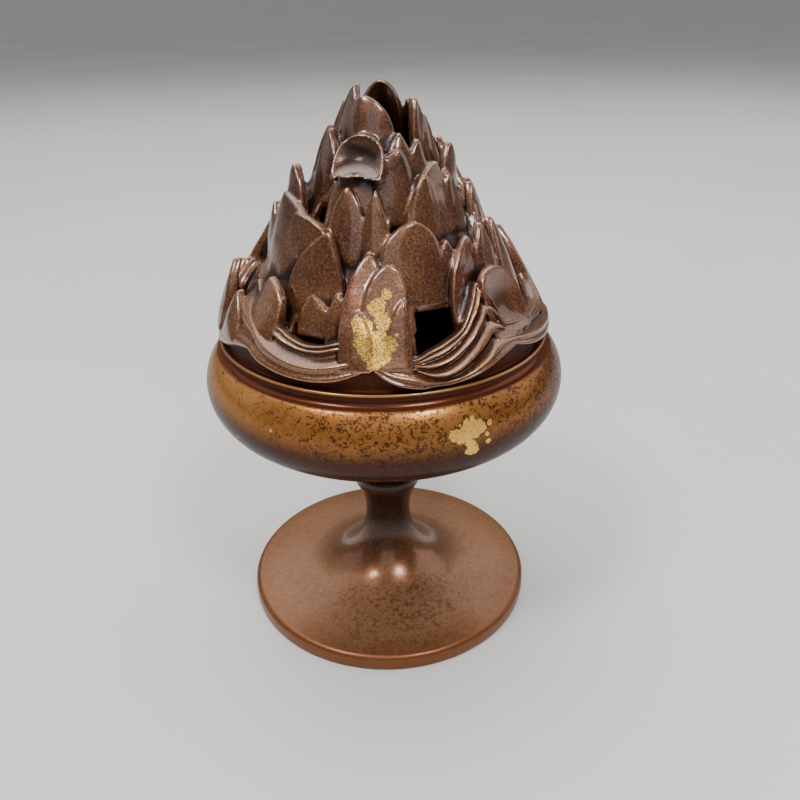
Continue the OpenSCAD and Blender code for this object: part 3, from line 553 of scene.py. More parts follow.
VALLEY_FAR_RIGHT = (
    (2.6, 1.2, 0.2, -0.3, -0.5, -0.3, 0.2, 1.2, 2.6),
    (5, 4.4, 4, 3.6, 3, 2.4, 2.8, 4.2, 5.5),
    (5.4, 4.8, 4.4, 4.1, 3.8, 3.6, 4.6, 6.4, 8),
    (5.8, 5.2, 4.8, 4.6, 4.6, 4.8, 6.6, 9.5, 11),
    (6.5, 5.8, 5.4, 5.4, 5.6, 6.2, 8.5, 12, 14.5))
VALLEY_FAR_LEFT = (
    (2.6, 1.2, 0.2, -0.3, -0.5, -0.3, 0.6, 1.8, 2.4),
    (5.5, 3.6, 2.2, 1.4, 1.2, 4.4, 13.4, 12, 9.2),
    (8, 5.8, 4, 2.8, 2.6, 4.8, 13.6, 12.2, 9.4),
    (11, 8.5, 6, 4.4, 4.2, 5.8, 13.8, 12.4, 9.6),
    (14.5, 12.5, 8.5, 6.2, 6, 7.6, 14.2, 12.8, 10))
VALLEY_PLAIN = (
    (2.6, 1.2, 0.2, -0.3, -0.5, -0.3, 0.2, 1.2, 2.6),
    (5.5, 3.6, 2.2, 1.3, 1, 1.5, 2.6, 4.2, 5.5),
    (8, 5.8, 4, 2.8, 2.4, 3, 4.4, 6.4, 8),
    (11, 8.5, 6, 4.4, 3.8, 4.6, 6.6, 9.5, 11),
    (14.5, 12.5, 8.5, 6.2, 5.2, 6, 8.5, 12, 14.5))
VALLEYS = (VALLEY_RIGHT, VALLEY_FAR_RIGHT) + (VALLEY_PLAIN,) * 3 + (VALLEY_FAR_LEFT, VALLEY_LEFT)


# Least reach of a peak at its tip, as a share, and the power that sets where its face bows most.
LEAST_REACH, BOW_POWER = 0.03, 0.7


def hill_radius(size, height):
    """Radius of the hill outline at a height above its lowest line."""
    rise = np.maximum(np.asarray(height, float), 0.0) / size.hill_height
    return size.hill_foot - (size.hill_foot - size.hill_top) * rise ** size.hill_curve


def round_axis(r, azimuth, z):
    """Points from radius, azimuth in degrees from the front, and height."""
    a = np.radians(azimuth)
    return np.stack([r * np.sin(a), -r * np.cos(a), np.broadcast_to(z, np.shape(r))], -1)


def off_azimuth(azimuths, centre):
    """Degrees between azimuths and a centre, whichever way round is shorter."""
    return np.abs((azimuths - centre + 180) % 360 - 180)


def peak_blank(rows=22, face=11, behind=6):
    """Blank of a peak: its points and faces, with two stored vectors that the tree bends by.

    The first holds the place across, the share of the height and the nearness to the side, the second
    the bevel and thickness steps of the depth.
    """
    side = ((0.7, 0.3, 0.0), (1.0, 1.0, 0.0), (1.0, 1.0, 0.5), (1.0, 1.0, 1.0), (0.7, 1.7, 1.0))
    ring = [(x, 0.0, 0.0, 0.0) for x in np.linspace(-1.0, 1.0, face)]
    ring += [(1.0, *step) for step in side]
    ring += [(-x, 0.0, 2.0, 1.0) for x in np.linspace(-1.0, 1.0, behind)]
    ring += [(-1.0, *step) for step in side[::-1]]
    heights = 1 - (1 - np.linspace(0.0, 1.0, rows)) ** 1.7
    first = [(across, height, near) for height in heights for across, near, _, _ in ring]
    second = [(bevel, through, 0.0) for _ in heights for _, _, bevel, through in ring]
    faces = ring_faces(rows, len(ring))
    faces.append(tuple(range(len(ring)))[::-1])
    faces.append(tuple(range((rows - 1) * len(ring), rows * len(ring))))
    return first, second, faces


# Named inputs of the peak tree and the sizes that they take.
PEAK_INPUTS = {"Foot Height": "hill_level", "Foot Radius": "hill_foot", "Top Radius": "hill_top",
               "Hill Height": "hill_height", "Hill Curve": "hill_curve", "Core Depth": "core_depth",
               "Core Wall": "core_wall", "Tip Thickness": "peak_tip", "Bevel": "peak_bevel",
               "Unevenness": "uneven"}


def peak_tree(finish):
    """Geometry Nodes that bend one blank to each row of the peak table."""
    tree = bpy.data.node_groups.new("hill_peaks", "GeometryNodeTree")
    tree.interface.new_socket("Geometry", in_out="INPUT", socket_type="NodeSocketGeometry")
    tree.interface.new_socket("Blank", in_out="INPUT", socket_type="NodeSocketObject")
    for name in PEAK_INPUTS:
        tree.interface.new_socket(name, in_out="INPUT", socket_type="NodeSocketFloat")
    tree.interface.new_socket("Geometry", in_out="OUTPUT", socket_type="NodeSocketGeometry")
    root = Field(tree)
    given = {s.name: Field(tree, s) for s in tree.nodes.new("NodeGroupInput").outputs if s.name}
    foot, tip_wall, bevel = given["Foot Radius"], given["Tip Thickness"], given["Bevel"]

    def stored(name):
        vector = root.node("GeometryNodeInputNamedAttribute", {"Name": name}, data_type="FLOAT_VECTOR")
        return vector.parts()

    def outline(height):
        share = height.most(0.0) / given["Hill Height"]
        return foot - (foot - given["Top Radius"]) * share ** given["Hill Curve"]

    azimuth, left, right = stored("row_a")
    base, tip, apex = stored("row_b")
    left_round, right_round, fold = stored("row_c")
    set_in, stand_out, sharp = stored("row_d")
    across, share, edge = stored("blank_a")
    bevels, through, _ = stored("blank_b")
    is_left = root.math("LESS_THAN", across, 0.0)
    full = right - apex + is_left * (left + apex * 2.0 - right)
    point = right_round + is_left * (left_round - right_round)
    reach = full * (LEAST_REACH + (1.0 - LEAST_REACH) * (1.0 - share ** point).most(0.0) ** sharp)
    inner = (reach - bevel * (1.0 - edge)).most(reach * 0.4)
    base_r = outline(base) - set_in
    bow = root.math("SINE", math.pi * share ** BOW_POWER)
    middle = 1.0 - across * across
    low = (1.0 - share) ** 2.0
    face_r = base_r + (outline(tip) + stand_out - base_r) * share + fold * middle * bow
    to_core = base_r - outline(base) + given["Core Depth"] + given["Core Wall"] * 0.5
    thick = tip_wall + (to_core.most(tip_wall) - tip_wall) * low
    depth = bevel * bevels + (thick - bevel * 2.0) * through
    angle = azimuth * (math.pi / 180.0) + (apex + across * inner) / face_r
    lift = (-fold).most(0.0) * 0.3 * middle * low
    height = given["Foot Height"] + base + (tip - base) * share + lift

    def spot(radius):
        x = radius * root.math("SINE", angle) * MM
        y = -(radius * root.math("COSINE", angle)) * MM
        return root.node("ShaderNodeCombineXYZ", {0: x, 1: y, 2: height * MM})

    uneven = root.node("ShaderNodeTexNoise", {"Vector": spot(face_r), "Scale": 210.0, "Detail": 1.0})
    radius = face_r - depth + (uneven - 0.5) * given["Unevenness"]

    blank = root.node("GeometryNodeObjectInfo", {"Object": given["Blank"]}, 4)
    many = root.node("GeometryNodeInstanceOnPoints", {"Points": given["Geometry"], "Instance": blank})
    real = root.node("GeometryNodeRealizeInstances", {"Geometry": many})
    bent = root.node("GeometryNodeSetPosition", {"Geometry": real, "Position": spot(radius)})
    whole = root.node("GeometryNodeRealizeInstances", {"Geometry": bent})
    whole = root.node("GeometryNodeSetMaterial", {"Geometry": whole, "Material": finish})
    tree.links.new(whole.socket, tree.nodes.new("NodeGroupOutput").inputs[0])
    return tree


def make_peaks(rows, size, tree):
    """Run the peak tree over the rows and keep the result as a plain mesh."""
    first, second, faces = peak_blank()
    blank_mesh = bpy.data.meshes.new("peak_blank")
    blank_mesh.from_pydata(first, [], faces)
    table = bpy.data.meshes.new("peak_rows")
    table.from_pydata([(0.0, 0.0, 0.0)] * len(rows), [], [])
    rows = np.array(rows, float)
    columns = {"row_a": (0, 1, 2), "row_b": (3, 4, 5), "row_c": (6, 7, 10), "row_d": (8, 9, 11)}
    vectors = [(blank_mesh, "blank_a", first), (blank_mesh, "blank_b", second)]
    vectors += [(table, key, rows[:, column]) for key, column in columns.items()]
    for mesh, key, values in vectors:
        mesh.attributes.new(key, "FLOAT_VECTOR", "POINT").data.foreach_set("vector", np.ravel(values))
    blank = linked("peak_blank", blank_mesh)
    carrier = linked("peak_rows", table)
    modifier = carrier.modifiers.new("peaks", "NODES")
    modifier.node_group = tree
    values = {name: getattr(size, key) for name, key in PEAK_INPUTS.items()}
    values["Blank"] = blank
    for item in tree.interface.items_tree:
        if item.name in values:
            modifier[item.identifier] = values[item.name]
    mesh = finished(carrier)
    bpy.data.objects.remove(blank)
    return mesh


def wave_heights(count):
    """Azimuths and heights of the wave lines, as smooth curves through the nine places of a valley."""
    azimuths, lines, spans = [], [], 8
    share = np.arange(count) / count * spans
    low = np.minimum(share.astype(int), spans - 1)
    t = (share - low)[:, None]
    for i, valley in enumerate(VALLEYS):
        v = np.array(valley, float).T
        v = np.vstack([2 * v[0] - v[1], v, 2 * v[-1] - v[-2]])
        a, b, c, d = (v[low + k] for k in range(4))
        lines.append(b + 0.5 * t * (c - a + t * (2 * a - 5 * b + 4 * c - d + t * (3 * (b - c) + d - a))))
        azimuths.append(TIPS[i] + (TIPS[i + 1] - TIPS[i]) * share / spans)
    return np.concatenate(azimuths), np.maximum.accumulate(np.concatenate(lines), axis=1)


def peak_face(size, azimuths, height):
    """Radius of the foremost rim peak over each place of the skirt, or nought where none stands."""
    front = np.zeros(len(azimuths))
    for row in RIM_PEAKS:
        azimuth, left, right, base, tip, apex = row[:6]
        left_round, right_round, set_in, out, fold, sharp = row[6:]
        share = np.clip((height - base) / (tip - base), 0.0, 1.0)
        foot = hill_radius(size, base) - set_in
        face = foot + (hill_radius(size, tip) + out - foot) * share
        across = np.radians((azimuths - azimuth + 180) % 360 - 180) * face - apex
        full = np.where(across < 0, left + apex, right - apex)
        point = np.where(across < 0, left_round, right_round)
        reach = full * (LEAST_REACH + (1.0 - LEAST_REACH) * np.maximum(1 - share ** point, 0) ** sharp)
        bow = fold * (1 - (across / reach) ** 2) * np.sin(np.pi * share ** BOW_POWER)
        inside = (np.abs(across) < reach - 0.2) & (height > base + 0.2) & (height < tip)
        front = np.maximum(front, np.where(inside, face + bow, 0.0))
    return front


def make_waves(size, back=0.0):
    """Points, faces and paint of the scalloped wave skirt, as overlapping ribbons; the paint holds the worn
    crests and the painted shade of the grooves, the lip and the ledge.

    In front the ribs run over the feet of the peaks, at the sides and behind they pass under them.
    """
    azimuths, lines = wave_heights(80)
    count = len(azimuths)
    steps = np.array((0.0, 0.1, 0.22, 0.36, 0.5, 0.6, 0.68, 0.74, 0.8, 0.87, 0.94))
    rise = np.where(steps < 0.68, -np.cos(np.pi * steps / 0.68), np.cos(np.pi * (steps - 0.68) / 0.32))
    rub = np.interp(steps, (0, 0.5, 0.62, 0.7, 0.76, 0.84, 1), (0, 0.05, 0.6, 1.0, 0.7, 0.2, 0.0))
    # Painted shade in the grooves between the ribs.
    groove_shade = np.interp(steps, (0, 0.15, 0.4, 0.9, 1), (0.6, 0.3, 0.0, 0.2, 0.6))
    front_arc, behind = 68, 0.7
    away = off_azimuth(azimuths, 0) > front_arc
    to_tip = off_azimuth(azimuths[:, None], np.array(TIPS)).min(axis=1)
    calm = np.where(away, np.clip((to_tip - 4.0) / 6.0, 0.0, 1.0), 1.0)
    columns, worn, deep = [], [], []

    def add(r, h, w, c):
        front = peak_face(size, azimuths, h)
        low = np.where(front > hill_radius(size, h) - behind, np.minimum(r, front - behind), r)
        soft = np.mean([np.roll(low, k) for k in range(-4, 5)], axis=0)
        r = np.where(away, np.minimum(low, soft), r)
        columns.append(round_axis(r, azimuths, size.hill_level + h))
        worn.append(np.full(count, w))
        deep.append(np.full(count, c))

    for k in range(4):
        gap = lines[:, k + 1] - lines[:, k]
        tall = size.wave_depth * np.clip(gap / 2.0 - 0.2, 0.0, 1.0) * calm
        for t, out, w, c in zip(steps, rise, rub, groove_shade):
            if k == 0 and t < 0.6:
                out = np.interp(t, (0, 0.1, 0.22, 0.36, 0.5, 0.6), (0.1, 0.7, 0.5, 0.1, 0.35, 0.85))
                w, c = np.interp(t, (0, 0.1, 0.3, 0.5, 0.6), (0.5, 0.8, 0.1, 0.05, 0.6)), 0.0
            h = lines[:, k] + gap * t
            out = (out + 1.0) * tall - size.wave_depth
            add(hill_radius(size, h) + size.wave_out + out - back, h, w, c)
    top = lines[:, 4]
    edge = hill_radius(size, top) + size.wave_out - size.wave_depth + tall - back
    lip = ((0.3, 0.1, 0.5), (0.1, 0.35, 0.8), (-0.3, 0.45, 0.5), (-2.0, 0.2, 0.0), (-3.0, -2.0, 0.0))
    # Some painted shade along the lip.
    for out, drop, w in lip:
        add(edge + out, top + drop - back, w, 0.3)
    # Full painted shade on the ledge under the skirt.
    ledge = size.ledge_level - size.hill_level + 0.4
    add(np.full(count, size.ledge_radius - 1.3), np.maximum(ledge, lines[:, 0]), 0.0, 1.0)
    add(np.full(count, size.ledge_radius + 0.2), lines[:, 0], 0.0, 1.0)
    faces = ring_faces(len(columns), count, closed=True)
    return np.concatenate(columns), faces, {"worn": np.concatenate(worn), "deep": np.concatenate(deep)}


def make_core(size):
    """Points and faces of the pierced core shell behind the peaks."""
    count = 360
    levels = np.linspace(size.ledge_level - size.hill_level, size.core_height, 62)
    azimuths = np.arange(count) * 360.0 / count
    points = []
    for wall in (0.0, size.core_wall):
        for h in levels:
            r = hill_radius(size, h) - size.core_depth - wall
            points.append(round_axis(np.full(count, r), azimuths, size.hill_level + h))
    solid = np.ones((len(levels) - 1, count), bool)
    middle = (levels[:-1] + levels[1:]) / 2
    for centre, half, low, high in LOW_WINDOWS + HIGH_WINDOWS:
        off = off_azimuth(azimuths + 0.5, centre)
        share = np.clip((middle - low) / (high - low), 0, 1)
        reach = half * (1 - 0.2 * share)
        solid &= ~(((middle > low) & (middle < high))[:, None] & (off[None, :] < reach[:, None]))
    shift = len(levels) * count
    faces = []
    for i in range(len(levels) - 1):
        for j in range(count):
            if not solid[i, j]:
                continue
            a, b = i * count + j, i * count + (j + 1) % count
            c, d = a + count, b + count
            faces += [(a, b, d, c), (a + shift, c + shift, d + shift, b + shift)]
            if i == 0 or not solid[i - 1, j]:
                faces.append((a + shift, b + shift, b, a))
            if i == len(levels) - 2 or not solid[i + 1, j]:
                faces.append((c, d, d + shift, c + shift))
            if not solid[i, (j + 1) % count]:
                faces.append((b, b + shift, d + shift, d))
            if not solid[i, j - 1]:
                faces.append((c, c + shift, a + shift, a))
    return np.concatenate(points), faces


def make_felt():
    """Points and faces of the felted pad: a soft uneven disc under a mat of loose fibres."""
    rng = np.random.default_rng(5)
    radius, low, high = PAD_HIGH.x / MM, PAD_LOW.z / MM, PAD_HIGH.z / MM
    count, mat, limit = 180, high - 0.12, radius - 0.15
    turn = np.arange(count) * 2 * math.pi / count
    edge = rng.uniform(-0.25, 0.0, 45)
    ragged = np.interp(turn, np.linspace(0, 2 * math.pi, 46), np.append(edge, edge[0]))
    rings = [(0.04, low), (0.5, low), (0.97, low)]
    rings += [(1.0, low + 0.5), (1.0, high - 0.6), (0.975, high - 0.2)]
    rings += [(share, mat) for share in np.linspace(0.94, 0.04, 26)]
    points = []
    for share, z in rings:
        lift = rng.uniform(-0.12, 0.06, count) if z == mat else np.zeros(count)
        r = (radius + ragged * (share > 0.9)) * share
        points += list(zip(r * np.cos(turn), r * np.sin(turn), z + lift))
    faces = ring_faces(len(rings), count)
    for ring, z in ((0, low), (len(rings) - 1, mat)):
        middle = len(points)
        points.append((0.0, 0.0, z))
        for j in range(count):
            a, b = ring * count + j, ring * count + (j + 1) % count
            faces.append((a, middle, b) if ring == 0 else (a, b, middle))
    for _ in range(900):
        far = radius * math.sqrt(rng.uniform(0.0, 0.96))
        spin = rng.uniform(0, 2 * math.pi)
        aim = rng.uniform(0, 2 * math.pi)
        bend = rng.uniform(-0.5, 0.5)
        reach = rng.uniform(1.5, 4.0)
        thick = rng.uniform(0.05, 0.09)
        start = len(points)
        spot = np.array((far * math.cos(spin), far * math.sin(spin)))
        for rise, width in ((0.02, 0.4), (0.06, 1.0), (0.09, 1.0), (0.05, 1.0), (0.0, 0.4)):
            way = np.array((math.cos(aim), math.sin(aim)))
            side = np.array((-way[1], way[0])) * thick * width
            z = mat + rise
            if np.hypot(*spot) > limit:
                spot *= limit / np.hypot(*spot)
            points += [(*(spot + side), z - 0.05), (*(spot - side), z - 0.05), (*spot, z + thick * 0.5)]
            spot = spot + way * reach / 4
            aim += bend
        for a in range(start, start + 12, 3):
            faces += [(a + m, a + m + 3, a + (m + 1) % 3 + 3, a + (m + 1) % 3) for m in range(3)]
        faces += [(start, start + 1, start + 2), (start + 12, start + 14, start + 13)]
    return points, faces


def evened(values, pairs, passes):
    """Values of the points after each has moved halfway to the mean of its neighbours, some times."""
    count = len(values)
    near = np.maximum(np.bincount(pairs.ravel(), minlength=count), 1)[:, None]
    for _ in range(passes):
        total = np.stack([np.bincount(pairs[:, 0], values[pairs[:, 1], k], count)
                          + np.bincount(pairs[:, 1], values[pairs[:, 0], k], count)
                          for k in range(values.shape[1])], -1)
        values = (values + total / near) / 2
    return values


def without_crumbs(mesh, crumb=100):
    """Weld the slivers of a mesh and take away the crumbs that hang loose."""
    shape = bmesh.new()
    shape.from_mesh(mesh)
    bmesh.ops.remove_doubles(shape, verts=shape.verts, dist=0.03 * MM)
    bmesh.ops.dissolve_degenerate(shape, edges=shape.edges, dist=0.01 * MM)
    found, crumbs = set(), []
    for start in shape.verts:
        if start in found:
            continue
        found.add(start)
        island, queue = [start], [start]
        while queue:
            for edge in queue.pop().link_edges:
                new = [v for v in edge.verts if v not in found]
                found.update(new)
                island += new
                queue += new
        if len(island) < crumb:
            crumbs += island
    bmesh.ops.delete(shape, geom=crumbs, context="VERTS")
    bmesh.ops.triangulate(shape, faces=shape.faces)
    shape.to_mesh(mesh)
    shape.free()


def cast(name, parts, skirt, finish, grain, most):
    """Melt overlapping meshes into one casting, note its worn places and its deep places for painted shade,
    and add the skirt.
    """
    whole = bmesh.new()
    for part in parts:
        whole.from_mesh(part)
        bpy.data.meshes.remove(part)
    mesh = bpy.data.meshes.new(name + "_parts")
    whole.to_mesh(mesh)
    whole.free()
    carrier = linked(name + "_parts", mesh)
    melt = carrier.modifiers.new("melt", "REMESH")
    melt.mode = "VOXEL"
    melt.voxel_size = grain * MM
    soften = carrier.modifiers.new("soften", "SMOOTH")
    soften.factor, soften.iterations = 0.5, 4
    thin = carrier.modifiers.new("thin", "DECIMATE")
    thin.show_viewport = False
    seen = bpy.context.evaluated_depsgraph_get()
    count = len(carrier.evaluated_get(seen).data.polygons) * 2
    thin.show_viewport = True
    thin.ratio = min(1.0, most / count)
    mesh = finished(carrier)
    without_crumbs(mesh)
    points = np.array([v.co for v in mesh.vertices]) / MM
    normals = np.array([v.normal for v in mesh.vertices])
    faces = [tuple(p.vertices) for p in mesh.polygons]
    pairs = np.array([tuple(e.vertices) for e in mesh.edges])
    bpy.data.meshes.remove(mesh)
    close = ((points - evened(points, pairs, 4)) * normals).sum(1)
    # How far each point lies below a widely smoothed surface: the mask of painted shade in the recesses.
    wide = ((points - evened(points, pairs, 100)) * normals).sum(1)
    worn = evened(np.clip((close - 0.03) / 0.14, 0, 1)[:, None], pairs, 1)[:, 0]
    deep = evened(np.clip((-wide - 0.08) / 0.7, 0, 1)[:, None], pairs, 2)[:, 0]
    more, joins, paint = skirt
    faces += [tuple(i + len(points) for i in join) for join in joins]
    paint = {"worn": np.append(worn, paint["worn"]), "deep": np.append(deep, paint["deep"])}
    return place(name, np.vstack([points, more]), faces, finish, "lid", "lid_mountain", "lid_bronze", paint)


# Settings

# Ledge under the hill: its radius, and its height above the lowest line of the hill, in millimetres.
LEDGE_RADIUS, LEDGE_RISE = 38.95, 2.3


def length(name, text, value):
    """A length setting in metres."""
    return bpy.props.FloatProperty(name=name, description=text, default=value, unit="LENGTH", precision=5)


def tint(name, text, code):
    """A colour setting."""
    return bpy.props.FloatVectorProperty(name=name, description=text, default=rgb(code), size=4,
                                         subtype="COLOR", min=0.0, max=1.0)


class CENSER_PG_sizes(bpy.types.PropertyGroup):
    """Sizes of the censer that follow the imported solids."""
    waist_radius: length("Waist", "Radius of the stem at its waist", 0.00615)
    waist_curve: length("Waist curve", "Radius of the hollow curve of the stem", 0.0186)
    bowl_side: length("Bowl side", "Radius of the rounded side of the bowl", 0.012)
    bowl_wall: length("Bowl wall", "Wall thickness of the bowl", 0.0025)
    hill_foot: length("Hill foot", "Radius of the hill outline at its lowest line", 0.040)
    hill_top: length("Hill top", "Radius of the hill outline at its top", 0.0055)
    hill_height: length("Hill height", "Height of the hill outline", 0.054)
    hill_curve: bpy.props.FloatProperty(name="Hill curve", description="Power of the hill outline",
                                        default=1.15)
    core_depth: length("Core depth", "Distance of the core behind the hill outline", 0.004)
    core_wall: length("Core wall", "Wall thickness of the core", 0.0024)
    core_height: length("Core height", "Height of the open top of the core", 0.039)
    peak_tip: length("Peak tip", "Thickness of a peak at its tip", 0.0020)
    peak_bevel: length("Peak bevel", "Rounding of the edges of a peak", 0.00042)
    uneven: length("Unevenness", "Hand-worked unevenness of the peaks", 0.0006)
    grain: length("Grain", "Finest detail of the casting", 0.00032)
    wave_depth: length("Wave depth", "Half depth of the wave relief", 0.0010)
    wave_out: length("Wave stand-out", "Stand-out of the wave relief", 0.0003)


class CENSER_PG_colours(bpy.types.PropertyGroup):
    """Colours of the patina, the gold and the fittings."""
    bowl_gold: tint("Bowl gold", "Light golden brown of the bowl", "B07C42")
    bowl_amber: tint("Bowl amber", "Deep amber of the bowl", "985C28")
    bowl_dash: tint("Bowl dashes", "Dark dashes on the bowl", "361812")
    # Dark maroon for painted shade under the bowl, also mixed in towards its right side.
    bowl_dark_and_shade: tint("Bowl low", "Dark maroon under the bowl", "30140C")
    foot_brown: tint("Foot brown", "Brown of the foot", "764E34")
    foot_tan: tint("Foot tan", "Light mottling of the foot", "A47854")
    # Dark clouds of the foot: mottled patina, and painted shade in front.
    foot_umber_and_shade: tint("Foot umber", "Dark clouds on the foot", "5C3821")
    foot_edge: tint("Foot edge", "Orange brown of the foot edge", "743F1A")
    # Almost black painted shade of the stem under the bowl.
    stem_painted_shade: tint("Stem", "Dark brown of the stem", "2B1710")
    lid_brown: tint("Lid brown", "Brown of the hill", "7C4E2F")
    lid_red: tint("Lid red", "Reddish brown of the hill", "643322")
    lid_tan: tint("Lid tan", "Light speckle of the hill", "A0744C")
    # Dark brown of the hill's grain and of the ring, and painted shade in the hill's recesses.
    lid_dark_and_shade: tint("Lid shadow", "Dark recesses of the hill", "22100A")
    worn_edge: tint("Worn edge", "Bright rubbed edges", "B4824E")
    gold_leaf: tint("Gold", "Gold splashes", "FFD070")
    gold_deep: tint("Gold deep", "Shaded grains of the gold", "A87426")
    brass: tint("Brass", "Brass of the pin stand", "B8924A")
    brass_dark: tint("Brass dark", "Darker brass", "8E6A30")
    steel: tint("Steel", "Plated steel", "A8AAAC")
    steel_dark: tint("Steel dark", "Darker plated steel", "76787A")
    fibre_pale: tint("Fibre", "Pale fibre of the pad", "D6D0C2")
    fibre_grey: tint("Fibre grey", "Grey fibre of the pad", "A8A296")
    scorch: tint("Scorch", "Scorched fibre", "4A3A2C")
    floor_high: tint("Floor", "Pale floor", "D6D5D2")
    floor_low: tint("Floor shade", "Shade of the floor", "CFCECB")


def settings():
    """Sizes in millimetres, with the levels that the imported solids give, and the colours."""
    group = bpy.context.scene.censer_sizes
    size = SimpleNamespace(**{key: getattr(group, key) / MM for key in group.__annotations__})
    size.hill_curve = group.hill_curve
    size.foot_radius, size.seat = FOOT_HIGH.x / MM, FOOT_HIGH.z / MM
    size.bowl_radius, size.rim = BOWL_HIGH.x / MM, BOWL_HIGH.z / MM
    size.ledge_radius, size.ledge_level = LEDGE_RADIUS, RING_HIGH.z / MM
    size.hill_level = size.ledge_level - LEDGE_RISE
    return size, bpy.context.scene.censer_colours


# Operators

class CENSER_OT_foot(bpy.types.Operator):
    """Turn the foot disc, the waisted stem and its collar"""
    bl_idname = "censer.foot"
    bl_label = "Foot"

    def execute(self, context):
        size, look = settings()
        r, curve = size.foot_radius, size.waist_curve
        disc, ring, under = 5.0, 34.0, 1.8
        lip, lip_z, slope = 1.5, 2.9, (30.0, 4.75)
        collar, bead = 8.9, 1.7
        neck, neck_x, neck_foot = 10.0, 16.9, 7.21
        socket, bore, pocket = 5.1, 2.8, 7.5
        socket_z, pocket_z = size.seat - 6.4, 9.0
        x, waist = size.waist_radius + curve, disc + curve
        collar_low = waist + math.sqrt(curve ** 2 - (x - collar) ** 2)
        collar_high = collar_low + 2 * bead
        stop = 180 - math.degrees(math.asin((collar_low - waist) / curve))
        neck_z = collar_high + math.sqrt(neck ** 2 - (neck_x - neck_foot) ** 2)
        low = 180 + math.degrees(math.asin((neck_z - collar_high) / neck))
        high = 180 - math.degrees(math.asin((size.seat - neck_z) / neck))
        profile = [(ring, 0.0)] + eased((r, 0.0), (ring, 0.0), (r, 4.0), 0.7)
        profile += arc(r - lip, lip_z, lip, 0, 88, 10) + [slope]
        profile += arc(x, waist, curve, 270, stop, 48)
        profile += arc(collar - bead, collar_low + bead, bead, 0, 80, 10)
        profile += arc(neck_x, neck_z, neck, low, high, 24)
        profile += [(socket, size.seat), (socket, socket_z), (bore, socket_z), (bore, pocket_z)]
        profile += [(pocket, pocket_z), (pocket, under), (ring, under)]
        place("foot_turned", *turned(profile), foot_finish(look), "stand", "pedestal_foot", "foot_bronze")
        return {"FINISHED"}


class CENSER_OT_bowl(bpy.types.Operator):
    """Turn the bowl with its neck band, floor and spigot"""
    bl_idname = "censer.bowl"
    bl_label = "Bowl"

    def execute(self, context):
        size, look = settings()
        side, wall, rim, floor = size.bowl_side, size.bowl_wall, size.rim, PAD_LOW.z / MM
        sag, rise, flat, band, mouth = 18.7, 8.6, 11.0, 39.4, 36.0
        hole, spigot, spigot_z, hole_z = 2.5, 5.0, size.seat - 6.3, size.seat + 2.2
        x, z = size.bowl_radius - side, size.seat + 19.3
        depth = sag - side
        up = (x * x - depth * depth) / (2 * depth)
        belly, inside = up + sag, up + sag - wall
        lean = math.degrees(math.atan2(up, x))
        shoulder, ceiling = z + rise, z + rise - wall
        top = math.degrees(math.asin(rise / side))
        start = -math.degrees(math.acos(flat / belly))
        under = math.degrees(math.asin((ceiling - z) / (side - wall)))
        end = -math.degrees(math.asin((z + up - floor) / inside))
        edge = (x + side * math.cos(math.radians(top)), shoulder)
        profile = [(hole, spigot_z), (spigot, spigot_z), (spigot, size.seat), (flat, size.seat)]
        profile += arc(0.0, z + up, belly, start, -lean, 40) + arc(x, z, side, -lean + 2, top - 4, 40)
        profile += eased(edge, arc(x, z, side, top - 4, top, 2)[0], (band, shoulder), 0.5)
        profile += [(band, shoulder)] + eased((band, rim), (band, shoulder), (mouth, rim), 0.25)
        profile += eased((mouth, rim), (band, rim), (mouth, ceiling), 0.25) + [(mouth, ceiling)]
        profile += arc(x, z, side - wall, under, -lean, 24) + arc(0.0, z + up, inside, -lean - 1, end, 24)
        profile += [(0.0, floor), (0.0, hole_z), (hole, hole_z)]
        place("bowl_turned", *turned(profile), bowl_finish(look), "stand", "bowl", "bowl_bronze")
        return {"FINISHED"}


class CENSER_OT_lid_ring(bpy.types.Operator):
    """Turn the lid ring with its spigot, two fine beads and plain hollow band"""
    bl_idname = "censer.lid_ring"
    bl_label = "Lid ring"

    def execute(self, context):
        size, look = settings()
        rim, bead, cove, half = size.rim, 0.45, 5.0, 2.3
        inside, spigot, spigot_z, ledge = 33.4, 35.7, rim - 4.0, 39.3
        x, lip = 40.4 - bead, rim + 1.4
        cove_x = size.ledge_radius + math.sqrt(cove ** 2 - half ** 2)
        turn = math.degrees(math.asin(half / cove))
        profile = [(inside, spigot_z), (spigot, spigot_z), (spigot, rim)]
        profile += arc(x, rim + bead, bead, -90, 60, 8) + [(x + 0.05, rim + 0.7)]
        profile += arc(x, lip - bead, bead, -60, 90, 8) + [(ledge, lip)]
        profile += arc(cove_x, lip + half, cove, 180 + turn, 180 - turn, 14)
        profile += [(inside, size.ledge_level)]
        place("lid_ring_turned", *turned(profile), band_finish(look), "lid", "lid_rim_ring", "lid_bronze")
        return {"FINISHED"}


class CENSER_OT_hill(bpy.types.Operator):
    """Cast the hill of the lid: pierced core, wave skirt and tiers of peaks"""
    bl_idname = "censer.hill"
    bl_label = "Hill"

    def execute(self, context):
        size, look = settings()
        finish = hill_finish(look)
        tree = peak_tree(finish)
        parts = [make_peaks(RIM_PEAKS + UPPER_PEAKS, size, tree)]
        parts.append(plain_mesh("skirt_bed", *make_waves(size, 0.3)[:2]))
        parts.append(plain_mesh("hill_core", *make_core(size)))
        cast("hill_cast", parts, make_waves(size), finish, size.grain, 130000)
        return {"FINISHED"}


